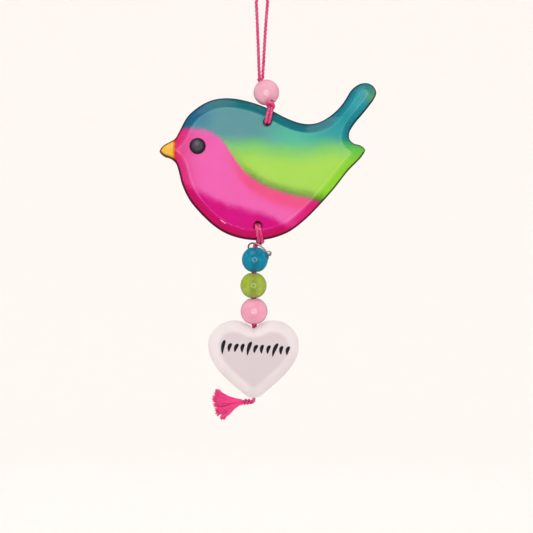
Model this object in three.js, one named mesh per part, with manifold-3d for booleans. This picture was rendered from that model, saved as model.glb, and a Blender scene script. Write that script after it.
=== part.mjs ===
// A glass bird suncatcher, hanging upright from the loop of its cord, in millimetres.
// +Z is up, the bird and the heart face -Y, and the origin is the top of the hanging loop.
// From the top: a doubled cord, a knot, a pink bead, the bird, a silver ring, three beads,
// a frosted heart and a small tassel that lies out to the left.

import * as THREE from "three";
import { mergeVertices } from "three/addons/utils/BufferGeometryUtils.js";
import Module from "manifold-3d";

const wasm = await Module();
wasm.setup();

// Driving sizes
const GLASS_THICKNESS = 5.6;
const BIRD_MARGIN = 3.4; // width of the rounded band round the front face
const BIRD_DROP = 2.3; // how far that band falls back from the front face
const BACK_CHAMFER = 0.5;
const HOLE_RADIUS = 1.5;
const HOLE_CHAMFER = 0.45;
const UPPER_HOLE = new THREE.Vector2(2.1, -50.9);
const LOWER_HOLE = new THREE.Vector2(-1.6, -91.2);

const EYE_CENTRE = new THREE.Vector2(-25.0, -60.3);
const EYE_RADIUS = 3.1;
const EYE_HEIGHT = 1.7;

const BEAD_BORE = 1.1; // radius
const BEAD_MOUTH = 1.65; // radius of the bore where it opens out
const MOUTH_DEPTH = 0.9;
const TOP_BEAD_RADIUS = 5.0;
const TOP_BEAD_CENTRE = new THREE.Vector3(1.7, 0, -39.2);
const TOP_BEAD_BORE_AXIS = new THREE.Vector3(-0.33, 0.42, 0.845).normalize();
const TOP_BEAD_MOUTH = 1.75;
const BEAD_X = { teal: -2.8, green: -3.3, pink: -3.1 };
const BEAD_RADIUS = { teal: 5.05, green: 5.1, pink: 5.25 };
const FIRST_BEAD_Z = -104.4;
const BEAD_STEP = 10.05;

const HEART_AXIS_X = -3.3;
const HEART_NOTCH_Z = -130.9;
const HEART_TIP_Z = -158.5;
const HEART_THICKNESS = 8;
const HEART_MARGIN = 4.3;
const HEART_DROP = 2.7;
const HEART_BORE = 1.1; // radius
const HEART_MOUTH = 1.75; // radius of the bore at the notch
const HEART_MOUTH_DEPTH = 0.8;

const CORD_RADIUS = 0.65;
const CORE_RADIUS = 0.75; // the two strands laid together inside the beads and the heart
const STRAND_OFFSET = 0.67; // half the distance between the two strands of the doubled cord
const CORD_SIDES = 8;
const KNOT_RADIUS = 1.3;
const KNOT_HALF_HEIGHT = 0.75;
const TOP_KNOT_CENTRE = new THREE.Vector3(-0.5, 2.8, -33.9);

const RING_RADIUS = 4.7;
const RING_WIRE = 0.34;
const RING_CENTRE = new THREE.Vector3(-1.5, 2.25, -101.45);
const RING_LEAN = THREE.MathUtils.degToRad(57.6); // how far the ring is turned from facing front
const RING_ROLL = THREE.MathUtils.degToRad(-40.1); // the slope of its long axis as seen from the front
const BALL_RADIUS = 1.1;
const BALL_ANGLE = THREE.MathUtils.degToRad(50); // its place on the ring
const BALL_OUT = 0.9; // how far its centre stands outside the wire's circle

const NECK_START = new THREE.Vector3(-4.4, 0, -160.3);
const NECK_END = new THREE.Vector3(-8.0, 0, -159.8);
const NECK_RADIUS = 1.05;
const SKIRT_LENGTH = 10.9;
const SKIRT_AXIS_ANGLE = THREE.MathUtils.degToRad(190.5); // measured from +X towards +Z
const SKIRT_HALF_ANGLE = THREE.MathUtils.degToRad(36.5);
const SKIRT_HALF_DEPTH = 1.9;
const SKIRT_SHORTER = 0.1; // how much shorter the lowest threads are, as a share of the length

// The bird's outline in X and Z, clockwise from the tip of the beak
const BIRD_OUTLINE = [
  [-39.9, -62.3],
  [-38.6, -60.1],
  [-36.3, -58.7],
  [-33.9, -57.3],
  [-31.7, -53.4],
  [-28.7, -48.3],
  [-22.8, -43.7],
  [-18.0, -41.9],
  [-12.6, -41.5],
  [-6.7, -42.4],
  [0.8, -44.8],
  [10.1, -49.5],
  [16.0, -51.4],
  [20.8, -51.3],
  [25.0, -49.5],
  [29.1, -46.3],
  [32.1, -42.7],
  [34.5, -38.8],
  [36.9, -36.6],
  [40.5, -35.5],
  [43.7, -37.2],
  [44.5, -40.0],
  [42.9, -42.9],
  [39.9, -46.8],
  [35.7, -51.9],
  [33.9, -55.6],
  [34.7, -58.6],
  [37.9, -59.7],
  [40.1, -61.0],
  [39.3, -63.6],
  [33.3, -70.1],
  [27.4, -77.6],
  [16.0, -89.5],
  [8.9, -94.3],
  [-1.9, -96.8],
  [-15.0, -93.7],
  [-26.9, -83.0],
  [-30.9, -75.8],
  [-32.9, -68.6],
  [-34.6, -65.5],
  [-37.6, -64.5],
];
const OUTLINE_SAMPLES = 92;

// Half of the heart's outline, from the notch to the tip, as X from its axis and Z
const HEART_OUTLINE = [
  [2.4, -129.6],
  [5.2, -128.4],
  [8.7, -128.2],
  [12.2, -129.2],
  [15.3, -131.5],
  [17.2, -134.7],
  [17.65, -138.3],
  [16.9, -141.9],
  [14.6, -146.2],
  [10.9, -150.4],
  [6.1, -154.7],
  [2.5, -157.5],
];
const HEART_SAMPLES = 60;

// Makes a solid of one closed mesh.
function solidOf(geometry, matrix = new THREE.Matrix4()) {
  const bare = geometry.index ? geometry.toNonIndexed() : geometry.clone();
  bare.deleteAttribute("normal");
  bare.deleteAttribute("uv");
  bare.applyMatrix4(matrix);
  const merged = mergeVertices(bare, 1e-4);
  const made = new wasm.Manifold(
    new wasm.Mesh({
      numProp: 3,
      vertProperties: merged.attributes.position.array,
      triVerts: new Uint32Array(merged.index.array),
    }),
  );
  if (made.volume() < 0) throw new Error("a solid is inside out");
  return made;
}

// Makes a geometry of a solid, for a mesh of the scene.
function geometryOf(solid) {
  const mesh = solid.getMesh();
  const positions = new Float32Array(mesh.numVert * 3);
  for (let i = 0; i < mesh.numVert; i += 1) {
    const start = i * mesh.numProp;
    positions.set(mesh.vertProperties.subarray(start, start + 3), i * 3);
  }
  const indexed = new THREE.BufferGeometry();
  indexed.setAttribute("position", new THREE.BufferAttribute(positions, 3));
  indexed.setIndex(new THREE.BufferAttribute(mesh.triVerts, 1));
  const flat = indexed.toNonIndexed();
  flat.computeVertexNormals();
  return flat;
}

// A closed curve through points in the XZ plane, sampled evenly along its length.
function closedOutline(points, samples) {
  const curve = new THREE.CatmullRomCurve3(
    points.map(([x, z]) => new THREE.Vector3(x, 0, z)),
    true,
    "centripetal",
  );
  curve.arcLengthDivisions = samples * 8;
  const spaced = curve.getSpacedPoints(samples).slice(0, samples);
  return spaced.map((p) => new THREE.Vector2(p.x, p.z));
}

// For each point of a clockwise outline: its inward direction, and the radius of the largest
// circle inside the outline that touches it there.
function inwardRoom(outline) {
  const count = outline.length;
  return outline.map((point, i) => {
    const before = outline[(i + count - 1) % count];
    const after = outline[(i + 1) % count];
    const along = after.clone().sub(before).normalize();
    const inward = new THREE.Vector2(along.y, -along.x);
    let room = Infinity;
    for (const other of outline) {
      const apart = other.clone().sub(point);
      const toward = apart.dot(inward);
      if (toward > 1e-6) room = Math.min(room, apart.lengthSq() / (2 * toward));
    }
    return { point, inward, room };
  });
}

// A flat slab with the given outline, built of rings at the given distances inside the outline,
// from the middle of the front face round the rim to the back. The depth functions give each
// face's place along Y by that distance, which is cut short where the slab is too narrow for it.
function slab(outline, frontDepth, backDepth, insets) {
  const spots = inwardRoom(outline);
  const count = outline.length;
  const NARROW = 0.9; // share of the room that an inset may take
  const ring = (inset, depthAt) =>
    spots.map(({ point, inward, room }) => {
      const cut = Math.min(inset, NARROW * room);
      const at = point.clone().addScaledVector(inward, cut);
      return [at.x, depthAt(cut), at.y];
    });
  const rings = [
    ...insets.front.map((inset) => ring(inset, frontDepth)),
    ...insets.back.map((inset) => ring(inset, backDepth)),
  ];
  const positions = rings.flat();
  const triangles = [];
  for (let r = 0; r + 1 < rings.length; r += 1)
    for (let i = 0; i < count; i += 1) {
      const next = (i + 1) % count;
      const [a, b] = [r * count + i, r * count + next];
      const [c, d] = [a + count, b + count];
      triangles.push([a, b, c], [b, d, c]);
    }
  const cap = (start) => {
    const flat = positions.slice(start, start + count);
    const contour = flat.map(([x, , z]) => new THREE.Vector2(x, z));
    return THREE.ShapeUtils.triangulateShape(contour, []);
  };
  const last = (rings.length - 1) * count;
  for (const face of cap(0)) triangles.push(facing(face, 0, positions, -1));
  for (const face of cap(last)) triangles.push(facing(face, last, positions, 1));
  const geometry = new THREE.BufferGeometry();
  geometry.setAttribute(
    "position",
    new THREE.BufferAttribute(new Float32Array(positions.flat()), 3),
  );
  geometry.setIndex(triangles.flat());
  return geometry;
}

// A triangle of a cap, wound so that it faces the given way along Y.
function facing(face, start, positions, side) {
  const [a, b, c] = face.map((i) => start + i);
  const [p, q, r] = [a, b, c].map((i) => new THREE.Vector3(...positions[i]));
  const normal = q.clone().sub(p).cross(r.clone().sub(p));
  return normal.y * side > 0 ? [a, b, c] : [a, c, b];
}

// A tube along points that a smooth curve passes through.
function tube(points, radius, steps) {
  const curve = new THREE.CatmullRomCurve3(points, false, "centripetal");
  curve.arcLengthDivisions = steps * 10;
  const section = new THREE.Shape();
  for (let i = 0; i < CORD_SIDES; i += 1) {
    const angle = (i / CORD_SIDES) * 2 * Math.PI;
    const at = [radius * Math.cos(angle), radius * Math.sin(angle)];
    if (i === 0) section.moveTo(...at);
    else section.lineTo(...at);
  }
  return new THREE.ExtrudeGeometry(section, {
    steps,
    extrudePath: curve,
    bevelEnabled: false,
  });
}

// A body of revolution about Z, from [radius, height] pairs, placed by a matrix.
function turned(profile, segments, matrix) {
  const points = profile.map(([r, h]) => new THREE.Vector2(r, h));
  const lathe = new THREE.LatheGeometry(points, segments);
  lathe.rotateX(Math.PI / 2);
  return solidOf(lathe, matrix);
}

// An upright egg shape of the given half height, for a knot or a lobe of one.
function lump(centre, radius, halfHeight) {
  const egg = new THREE.SphereGeometry(radius, 10, 6);
  egg.rotateX(Math.PI / 2);
  egg.scale(1, 1, halfHeight / radius);
  egg.translate(centre.x, centre.y, centre.z);
  return solidOf(egg);
}

// Depths of the bird's and the heart's faces, by distance from the outline
const BIRD_FRONT = -GLASS_THICKNESS / 2;
const BIRD_BACK = GLASS_THICKNESS / 2;
const HEART_FACE = HEART_THICKNESS / 2;

// The band falls away with a soft crest where it leaves the flat of the face.
function bandDrop(distance, width, drop) {
  const left = Math.max(0, 1 - distance / width);
  return drop * (0.3 * left + 0.7 * left ** 2.2);
}

function birdBody() {
  const front = (d) => BIRD_FRONT + bandDrop(d, BIRD_MARGIN, BIRD_DROP);
  const back = (d) => BIRD_BACK - Math.max(0, BACK_CHAMFER - d);
  const insets = {
    front: [1, 0.8, 0.55, 0.32, 0.13, 0].map((share) => share * BIRD_MARGIN),
    back: [0, BACK_CHAMFER],
  };
  const outline = closedOutline(BIRD_OUTLINE, OUTLINE_SAMPLES);
  return solidOf(slab(outline, front, back, insets));
}

// The cutter of a hole through the bird, wider where it meets each face.
function holeCutter(place) {
  const face = GLASS_THICKNESS / 2;
  const past = face + 1;
  const wide = HOLE_RADIUS + HOLE_CHAMFER + 1;
  const profile = [
    [0, -past],
    [wide, -past],
    [HOLE_RADIUS, -face + HOLE_CHAMFER],
    [HOLE_RADIUS, face - HOLE_CHAMFER],
    [wide, past],
    [0, past],
  ];
  const matrix = new THREE.Matrix4()
    .makeRotationX(Math.PI / 2)
    .setPosition(place.x, 0, place.y);
  return turned(profile, 16, matrix);
}

function glassBird() {
  return birdBody()
    .subtract(holeCutter(UPPER_HOLE))
    .subtract(holeCutter(LOWER_HOLE));
}

// A domed dot set on the front face.
function birdEye() {
  const STEPS = 5;
  const RIM = 0.45; // height of its upright side
  const GAP = 0.02;
  const profile = [
    [0, 0],
    [EYE_RADIUS, 0],
  ];
  for (let i = 0; i <= STEPS; i += 1) {
    const angle = (i / STEPS) * (Math.PI / 2);
    const rise = (EYE_HEIGHT - RIM) * Math.sin(angle);
    profile.push([EYE_RADIUS * Math.cos(angle), RIM + rise]);
  }
  profile[profile.length - 1][0] = 0;
  const matrix = new THREE.Matrix4()
    .makeRotationX(Math.PI / 2)
    .setPosition(EYE_CENTRE.x, BIRD_FRONT - GAP, EYE_CENTRE.y);
  return turned(profile, 24, matrix);
}

// A round bead with a bore that opens out at both ends, its bore along the given direction.
function bead(centre, radius, mouth, boreAxis) {
  const STEPS = 10;
  const mouthHeight = Math.sqrt(radius ** 2 - mouth ** 2);
  const start = Math.acos(mouthHeight / radius);
  const profile = [];
  for (let i = 0; i <= STEPS; i += 1) {
    const angle = start + (i / STEPS) * (Math.PI - 2 * start);
    profile.push([radius * Math.sin(angle), -radius * Math.cos(angle)]);
  }
  profile.push([BEAD_BORE, mouthHeight - MOUTH_DEPTH]);
  profile.push([BEAD_BORE, -mouthHeight + MOUTH_DEPTH]);
  profile.push(profile[0].slice());
  const turn = new THREE.Quaternion().setFromUnitVectors(
    new THREE.Vector3(0, 0, 1),
    boreAxis,
  );
  const matrix = new THREE.Matrix4().compose(
    centre,
    turn,
    new THREE.Vector3(1, 1, 1),
  );
  return turned(profile, 18, matrix);
}

// Where the beads of the lower string stand
const UPRIGHT = new THREE.Vector3(0, 0, 1);
const beadNames = Object.keys(BEAD_X);
const beadCentres = beadNames.map(
  (name, i) =>
    new THREE.Vector3(BEAD_X[name], 0, FIRST_BEAD_Z - i * BEAD_STEP),
);

// The cord of a cow hitch round the glass between a hole and the edge of the bird.
// Across is the distance from the middle of the two strands, near is the depth towards the
// side where the loop of the hitch crosses over them, and rise runs from the hole to the edge.
// Slant is how far the hitch leans to +X on its way to the edge, and tilt is the slope of the
// edge there. Over is the way round the edge on the far side, as depth and height above the
// edge, and crossing is the loop of the hitch, as across, depth and height above the edge.
function hitchPoints({ hole, edge, up, near, slant, tilt, over, crossing, ends }) {
  const strand = STRAND_OFFSET;
  const half = [
    [strand, 3.42, edge + 0.3],
    [strand, 3.62, edge - 1.3],
    [strand, 3.62, 1.7],
    [strand, 3.1, 0.5],
    [strand, 1.7, 0.02],
    [strand, -1.7, 0.02],
    [strand, -3.1, 0.5],
    [strand, -3.62, 1.7],
    ...over.map(([depth, above]) => [strand, depth, edge + above]),
    ...crossing.map(([across, depth, above]) => [across, depth, edge + above]),
  ];
  const middle = half.pop();
  const place = ([across, depth, rise]) =>
    new THREE.Vector3(
      hole.x + slant * Math.min(rise, edge) + across,
      -near * depth,
      hole.y + up * rise + (tilt * across * rise) / edge,
    );
  const left = half.map(([across, ...rest]) => [-across, ...rest]);
  return [
    ...ends.right,
    ...half.map(place),
    place(middle),
    ...left.reverse().map(place),
    ...ends.left.slice().reverse(),
  ];
}

// The upper cord: its two ends come out of the bead at the front and are hitched to the bird.
function topCord() {
  const inBead = (share, across, depth) =>
    TOP_BEAD_CENTRE.clone()
      .addScaledVector(TOP_BEAD_BORE_AXIS, -share * TOP_BEAD_RADIUS)
      .add(new THREE.Vector3(across, depth, 0));
  const strandEnd = (side) => [
    inBead(0.9, side * 0.6, 0),
    inBead(1.04, side * STRAND_OFFSET, -0.35),
  ];
  const hitch = tube(
    hitchPoints({
      hole: UPPER_HOLE,
      edge: 4.85,
      up: 1,
      near: 1,
      slant: 0.25,
      tilt: -0.25,
      over: [
        [-3.7, -0.8],
        [-2.85, 0.75],
        [-0.6, 1.05],
      ],
      crossing: [
        [1.1, 1.4, 1.05],
        [1.45, 3.1, 1.25],
        [1.35, 4.5, 1.75],
        [0.75, 5.15, 2.2],
        [0, 5.25, 2.3],
      ],
      ends: { right: strandEnd(1), left: strandEnd(-1) },
    }),
    CORD_RADIUS,
    54,
  );
  const core = tube([inBead(0.9, 0, 0), inBead(0, 0, 0), inBead(-0.98, 0, 0)], CORE_RADIUS, 4);
  return solidOf(hitch).add(solidOf(core));
}

// The lower cord: hitched to the bird with its loop behind, then down through the ring,
// the beads and the heart, with a knot under each bead.
function lowerCord() {
  const [teal] = beadCentres;
  const mouthTop = teal.z + BEAD_RADIUS.teal;
  const strandEnd = (side) => [
    new THREE.Vector3(teal.x + side * 0.3, 0, mouthTop - 0.6),
    new THREE.Vector3(teal.x + 0.45 + side * 0.5, 0.5, mouthTop + 0.7),
    new THREE.Vector3(-1.1 + side * 0.62, 2.0, mouthTop + 1.25),
  ];
  const hitch = tube(
    hitchPoints({
      hole: LOWER_HOLE,
      edge: 5.5,
      up: -1,
      near: -1,
      slant: 0.16,
      tilt: 0,
      over: [
        [-3.45, -2.4],
        [-2.75, -1.1],
        [-1.8, -0.1],
        [-0.6, 0.75],
      ],
      crossing: [
        [0.95, 1.4, 0.85],
        [1.4, 3.0, 0.6],
        [1.45, 4.5, 0.1],
        [0.85, 5.2, -0.2],
        [0, 5.3, -0.2],
      ],
      ends: { right: strandEnd(1), left: strandEnd(-1) },
    }),
    CORD_RADIUS,
    56,
  );
  const down = beadCentres.map((centre) => centre.clone());
  const core = tube(
    [
      new THREE.Vector3(teal.x, 0, mouthTop - 0.2),
      ...down,
      new THREE.Vector3(HEART_AXIS_X, 0, HEART_NOTCH_Z),
      new THREE.Vector3(HEART_AXIS_X, 0, HEART_TIP_Z + 1.5),
      new THREE.Vector3(HEART_AXIS_X + 0.1, 0, HEART_TIP_Z - 0.4),
      new THREE.Vector3(HEART_AXIS_X - 0.1, 0, HEART_TIP_Z - 1.4),
      NECK_START.clone().add(new THREE.Vector3(0.6, 0, -0.06)),
    ],
    CORE_RADIUS,
    28,
  );
  const knots = beadCentres.map((centre, i) => {
    const below = centre.clone();
    const next = beadCentres[i + 1];
    below.z -= next ? BEAD_STEP / 2 : BEAD_RADIUS.pink + 0.25;
    if (next) below.x = (centre.x + next.x) / 2;
    return lump(below, KNOT_RADIUS, KNOT_HALF_HEIGHT);
  });
  return knots.reduce((all, knot) => all.add(knot), solidOf(hitch).add(solidOf(core)));
}

// The knot above the top bead, with two lobes that show beside it.
function topKnot() {
  const LOBE_RADIUS = 0.75;
  const LOBE_HALF_HEIGHT = 0.7;
  const LOBES = [
    [-0.7, 0.1, 0],
    [0.7, 0, 0.1],
    [0, -0.1, -0.1],
  ];
  return LOBES.map(([x, y, z]) =>
    lump(
      TOP_KNOT_CENTRE.clone().add(new THREE.Vector3(x, y, z)),
      LOBE_RADIUS,
      LOBE_HALF_HEIGHT,
    ),
  ).reduce((all, lobe) => all.add(lobe));
}

// The loop that the suncatcher hangs from, one strand up and one down. Its route is chosen
// point by point, from the knot to the top and back.
function hangingLoop() {
  const GAP = 0.3;
  const foot = TOP_KNOT_CENTRE.z + 0.95 + GAP;
  const top = -CORD_RADIUS;
  const route = [
    [-1.05, 2.7, foot],
    [-1.1, 2.6, foot + 1.5],
    [-1.25, 2.3, -28],
    [-1.45, 1.75, -22],
    [-1.7, 1.2, -16],
    [-1.9, 0.75, -11],
    [-2.1, 0.35, -6.5],
    [-2.15, 0.1, -3.6],
    [-1.65, 0, top - 0.75],
    [0, 0, top],
    [1.65, 0, top - 0.75],
    [2.15, 0.1, -3.6],
    [1.95, 0.35, -6.5],
    [1.6, 0.75, -11],
    [1.25, 1.2, -16],
    [0.9, 1.75, -22],
    [0.55, 2.3, -28],
    [0.35, 2.6, foot + 1.5],
    [0.3, 2.7, foot],
  ];
  return solidOf(tube(route.map((p) => new THREE.Vector3(...p)), CORD_RADIUS, 38));
}

// A ring of silver wire that leans back as it hangs, with a ball set on it.
function silverRing() {
  const torus = new THREE.TorusGeometry(RING_RADIUS, RING_WIRE, 6, 32);
  const ball = new THREE.SphereGeometry(BALL_RADIUS, 12, 8);
  const reach = RING_RADIUS + BALL_OUT;
  ball.translate(reach * Math.cos(BALL_ANGLE), reach * Math.sin(BALL_ANGLE), 0);
  const long = new THREE.Vector3(Math.cos(RING_ROLL), 0, Math.sin(RING_ROLL));
  const short = new THREE.Vector3(-long.z, 0, long.x)
    .multiplyScalar(Math.cos(RING_LEAN))
    .add(new THREE.Vector3(0, -Math.sin(RING_LEAN), 0));
  const matrix = new THREE.Matrix4()
    .makeBasis(long, short, long.clone().cross(short))
    .setPosition(RING_CENTRE);
  return solidOf(torus, matrix).add(solidOf(ball, matrix));
}

// A thick heart with rounded edges and a bore from its notch to its tip.
function glassHeart() {
  const right = HEART_OUTLINE.map(([x, z]) => [HEART_AXIS_X + x, z]);
  const left = HEART_OUTLINE.map(([x, z]) => [HEART_AXIS_X - x, z]).reverse();
  const notch = [HEART_AXIS_X, HEART_NOTCH_Z];
  const tip = [HEART_AXIS_X, HEART_TIP_Z];
  const outline = closedOutline([notch, ...right, tip, ...left], HEART_SAMPLES);
  const shares = [1, 0.8, 0.58, 0.36, 0.16, 0];
  const insets = {
    front: shares.map((share) => share * HEART_MARGIN),
    back: shares
      .slice()
      .reverse()
      .map((share) => share * HEART_MARGIN),
  };
  const front = (d) => -HEART_FACE + bandDrop(d, HEART_MARGIN, HEART_DROP);
  const back = (d) => -front(d);
  const above = HEART_NOTCH_Z + 3;
  const below = HEART_TIP_Z - 3;
  const bore = turned(
    [
      [0, below],
      [HEART_BORE, below],
      [HEART_BORE, HEART_NOTCH_Z - HEART_MOUTH_DEPTH],
      [HEART_MOUTH, HEART_NOTCH_Z + 0.3],
      [HEART_MOUTH, above],
      [0, above],
    ],
    16,
    new THREE.Matrix4().makeTranslation(HEART_AXIS_X, 0, 0),
  );
  return solidOf(slab(outline, front, back, insets)).subtract(bore);
}

// The bound neck of the tassel, with a waist at each end.
function tasselNeck() {
  const along = NECK_END.clone().sub(NECK_START);
  const length = along.length();
  const shape = [
    [0, 0],
    [0.75, 0.02],
    [0.95, 0.12],
    [1, 0.35],
    [1, 0.65],
    [0.9, 0.88],
    [0.8, 0.98],
    [0, 1],
  ];
  const profile = shape.map(([r, h]) => [r * NECK_RADIUS, h * length]);
  const turn = new THREE.Quaternion().setFromUnitVectors(UPRIGHT, along.normalize());
  const matrix = new THREE.Matrix4().compose(
    NECK_START,
    turn,
    new THREE.Vector3(1, 1, 1),
  );
  return turned(profile, 14, matrix);
}

// The skirt of the tassel, a flat fan that flares from the neck.
function tasselSkirt() {
  const STATIONS = [0.03, 0.18, 0.36, 0.56, 0.78, 1];
  const SIDES = 22;
  const RAGGED = 0.035; // the ends of the threads differ by this share of their length
  const root = NECK_END.clone().add(new THREE.Vector3(-0.02, 0, 0));
  const positions = [];
  STATIONS.forEach((station, s) => {
    for (let i = 0; i < SIDES; i += 1) {
      const angle = (i / SIDES) * 2 * Math.PI;
      const spread = SKIRT_HALF_ANGLE * (0.6 + 0.4 * station) * Math.cos(angle);
      const uneven = s === STATIONS.length - 1 ? RAGGED * Math.sin(5 * angle) : 0;
      const shorter = SKIRT_SHORTER * Math.max(0, Math.cos(angle));
      const reach = SKIRT_LENGTH * station * (1 + uneven - shorter);
      const way = SKIRT_AXIS_ANGLE + spread;
      const base = NECK_RADIUS * 0.7 * (1 - station);
      const depth = (base + SKIRT_HALF_DEPTH * station) * Math.sin(angle);
      positions.push([
        root.x - 0.3 + reach * Math.cos(way),
        depth,
        root.z + reach * Math.sin(way) - base * Math.cos(angle),
      ]);
    }
  });
  const triangles = [];
  for (let s = 0; s + 1 < STATIONS.length; s += 1)
    for (let i = 0; i < SIDES; i += 1) {
      const next = (i + 1) % SIDES;
      const [a, b] = [s * SIDES + i, s * SIDES + next];
      const [c, d] = [a + SIDES, b + SIDES];
      triangles.push([a, c, b], [b, c, d]);
    }
  const last = (STATIONS.length - 1) * SIDES;
  for (let i = 1; i + 1 < SIDES; i += 1) {
    triangles.push([0, i, i + 1]);
    triangles.push([last, last + i + 1, last + i]);
  }
  const geometry = new THREE.BufferGeometry();
  geometry.setAttribute(
    "position",
    new THREE.BufferAttribute(new Float32Array(positions.flat()), 3),
  );
  geometry.setIndex(triangles.flat());
  return solidOf(geometry);
}

// Materials
const glass = (color, opacity) =>
  new THREE.MeshStandardMaterial({
    color,
    roughness: 0.08,
    metalness: 0,
    transparent: true,
    opacity,
  });
const satin = (color) =>
  new THREE.MeshStandardMaterial({ color, roughness: 0.45, metalness: 0 });
const MATERIALS = {
  bird: glass("#e0508f", 0.85),
  eye: new THREE.MeshStandardMaterial({ color: "#2b2530", roughness: 0.15 }),
  tealBead: glass("#008ca5", 0.95),
  greenBead: glass("#a8c050", 0.9),
  pinkBead: glass("#ff9cba", 0.9),
  heart: new THREE.MeshStandardMaterial({
    color: "#e3d8da",
    roughness: 0.55,
    transparent: true,
    opacity: 0.8,
  }),
  cord: satin("#c21f63"),
  tassel: satin("#fa3f86"),
  silver: new THREE.MeshStandardMaterial({
    color: "#c9c9cf",
    roughness: 0.25,
    metalness: 1,
  }),
};

const suncatcher = new THREE.Group();

function addPart(name, solid, material) {
  const mesh = new THREE.Mesh(geometryOf(solid), material);
  mesh.name = name;
  suncatcher.add(mesh);
}

addPart("glass_bird", glassBird(), MATERIALS.bird);
addPart("bird_eye", birdEye(), MATERIALS.eye);
addPart("hanging_loop", hangingLoop(), MATERIALS.cord);
addPart("top_knot", topKnot(), MATERIALS.cord);
addPart("top_cord", topCord(), MATERIALS.cord);
addPart(
  "top_bead",
  bead(TOP_BEAD_CENTRE, TOP_BEAD_RADIUS, TOP_BEAD_MOUTH, TOP_BEAD_BORE_AXIS),
  MATERIALS.pinkBead,
);
addPart("lower_cord", lowerCord(), MATERIALS.cord);
addPart("silver_ring", silverRing(), MATERIALS.silver);
beadNames.forEach((name, i) => {
  const made = bead(beadCentres[i], BEAD_RADIUS[name], BEAD_MOUTH, UPRIGHT);
  addPart(`${name}_bead`, made, MATERIALS[`${name}Bead`]);
});
addPart("glass_heart", glassHeart(), MATERIALS.heart);
addPart("tassel_neck", tasselNeck(), MATERIALS.tassel);
addPart("tassel_skirt", tasselSkirt(), MATERIALS.tassel);

export default suncatcher;
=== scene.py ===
"""The finished surfaces of a glass bird suncatcher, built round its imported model.

Every object is in metres, in the model's own frame: +Z up, the bird faces -Y, and the origin is
the top of the loop of cord that it hangs from. Sizes inside the functions that shape a piece are
in millimetres, and become metres where the mesh is made.
"""

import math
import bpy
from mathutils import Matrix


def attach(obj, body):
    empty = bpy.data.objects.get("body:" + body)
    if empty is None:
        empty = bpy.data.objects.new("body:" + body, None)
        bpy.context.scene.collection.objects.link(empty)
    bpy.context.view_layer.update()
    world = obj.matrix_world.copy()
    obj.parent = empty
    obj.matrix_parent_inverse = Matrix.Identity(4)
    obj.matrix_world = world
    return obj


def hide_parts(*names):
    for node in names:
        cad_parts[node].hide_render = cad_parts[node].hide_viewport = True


bl_info = {
    "name": "Glass bird suncatcher",
    "version": (1, 0, 0),
    "blender": (4, 5, 0),
    "location": "3D View > Sidebar > Suncatcher",
    "description": "Builds the glass, thread and silver of a bird suncatcher round its packed model",
    "category": "Add Mesh",
}

from contextlib import contextmanager
from functools import partial

import bmesh
import bpy
import numpy as np
from bpy.props import FloatProperty, FloatVectorProperty, IntProperty, PointerProperty
from mathutils import Matrix, Vector
from mathutils.geometry import delaunay_2d_cdt

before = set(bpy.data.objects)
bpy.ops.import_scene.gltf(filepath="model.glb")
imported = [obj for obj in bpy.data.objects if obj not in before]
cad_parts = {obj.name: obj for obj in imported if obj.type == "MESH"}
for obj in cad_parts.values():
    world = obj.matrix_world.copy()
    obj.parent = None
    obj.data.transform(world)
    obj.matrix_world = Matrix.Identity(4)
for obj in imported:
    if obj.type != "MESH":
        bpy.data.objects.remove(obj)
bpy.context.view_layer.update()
BODY = "root"
MM = 0.001

# The photograph's view: the camera looks along +Y, straight at the middle of the frame
VIEW_CENTRE = (0.001755, 0.0, -0.10706)
VIEW_WIDTH = 0.20787
LENS = 100.0
SENSOR = 36.0

# How bright the room is as light, and as it shows in gloss
SKY_STRENGTH = 1.17
SKY_GLOSS = 0.2

# The bird's glass, in millimetres
BIRD_FRONT = -2.8
BIRD_BACK = 2.8
BIRD_RIM = -0.5  # where the rounded band ends and the upright edge begins
BACK_ROUND = 0.5
BIRD_INSETS = (0.08, 0.2, 0.35, 0.55, 0.85, 1.2, 1.6, 2.0, 2.4, 2.8, 3.15, 3.45, 3.7, 3.84, 3.95, 4.3, 5.0)
LEE = (-0.5, -0.85)  # the side of the outline that less light reaches, as X and Z
UPPER_HOLE = (2.1, -50.9)
LOWER_HOLE = (-1.6, -91.2)

# The painted dark rim shade of a slab: how much wider it is on the side away from the light, how much
# narrower in millimetres on the back, and how far in the upright edge counts as
LEE_RIM = 0.55
BACK_RIM = 0.3
WALL_RIM = 0.7

# The heart's glass
HEART_AXIS = -3.3
HEART_FACE = 4.0
HEART_CREASE = 0.3
HEART_INSETS = (0.1, 0.3, 0.6, 1.0, 1.4, 1.9, 2.4, 2.9, 3.4, 3.8, 4.2, 4.7, 5.4)
HEART_NOTCH = -130.9
HEART_TIP = -158.5
HEART_BORE = 1.1
HEART_MOUTH = 1.75
HEART_HALF = (
    (2.4, -129.6),
    (5.2, -128.4),
    (8.7, -128.2),
    (12.2, -129.2),
    (15.3, -131.5),
    (17.2, -134.7),
    (17.65, -138.3),
    (16.9, -141.9),
    (14.6, -146.2),
    (10.9, -150.4),
    (6.1, -154.7),
    (2.5, -157.5),
)

# The bird's eye
EYE_PLACE = (-25.0, -60.3)
EYE_RADIUS = 3.15
EYE_HEIGHT = 1.7
EYE_BASE = -2.82

# The strokes on the heart: X and Z of the middle, how tall and wide each is, and its lean in degrees
STROKE_THICKNESS = 0.24
STROKES = tuple(
    (-15.2 + 2.5 * i, -138.2 - 0.14 * i, 5.6 if i % 4 == 0 else 3.5, 1.5, 10 + 6 * (i % 3))
    for i in range(11)
)

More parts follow.
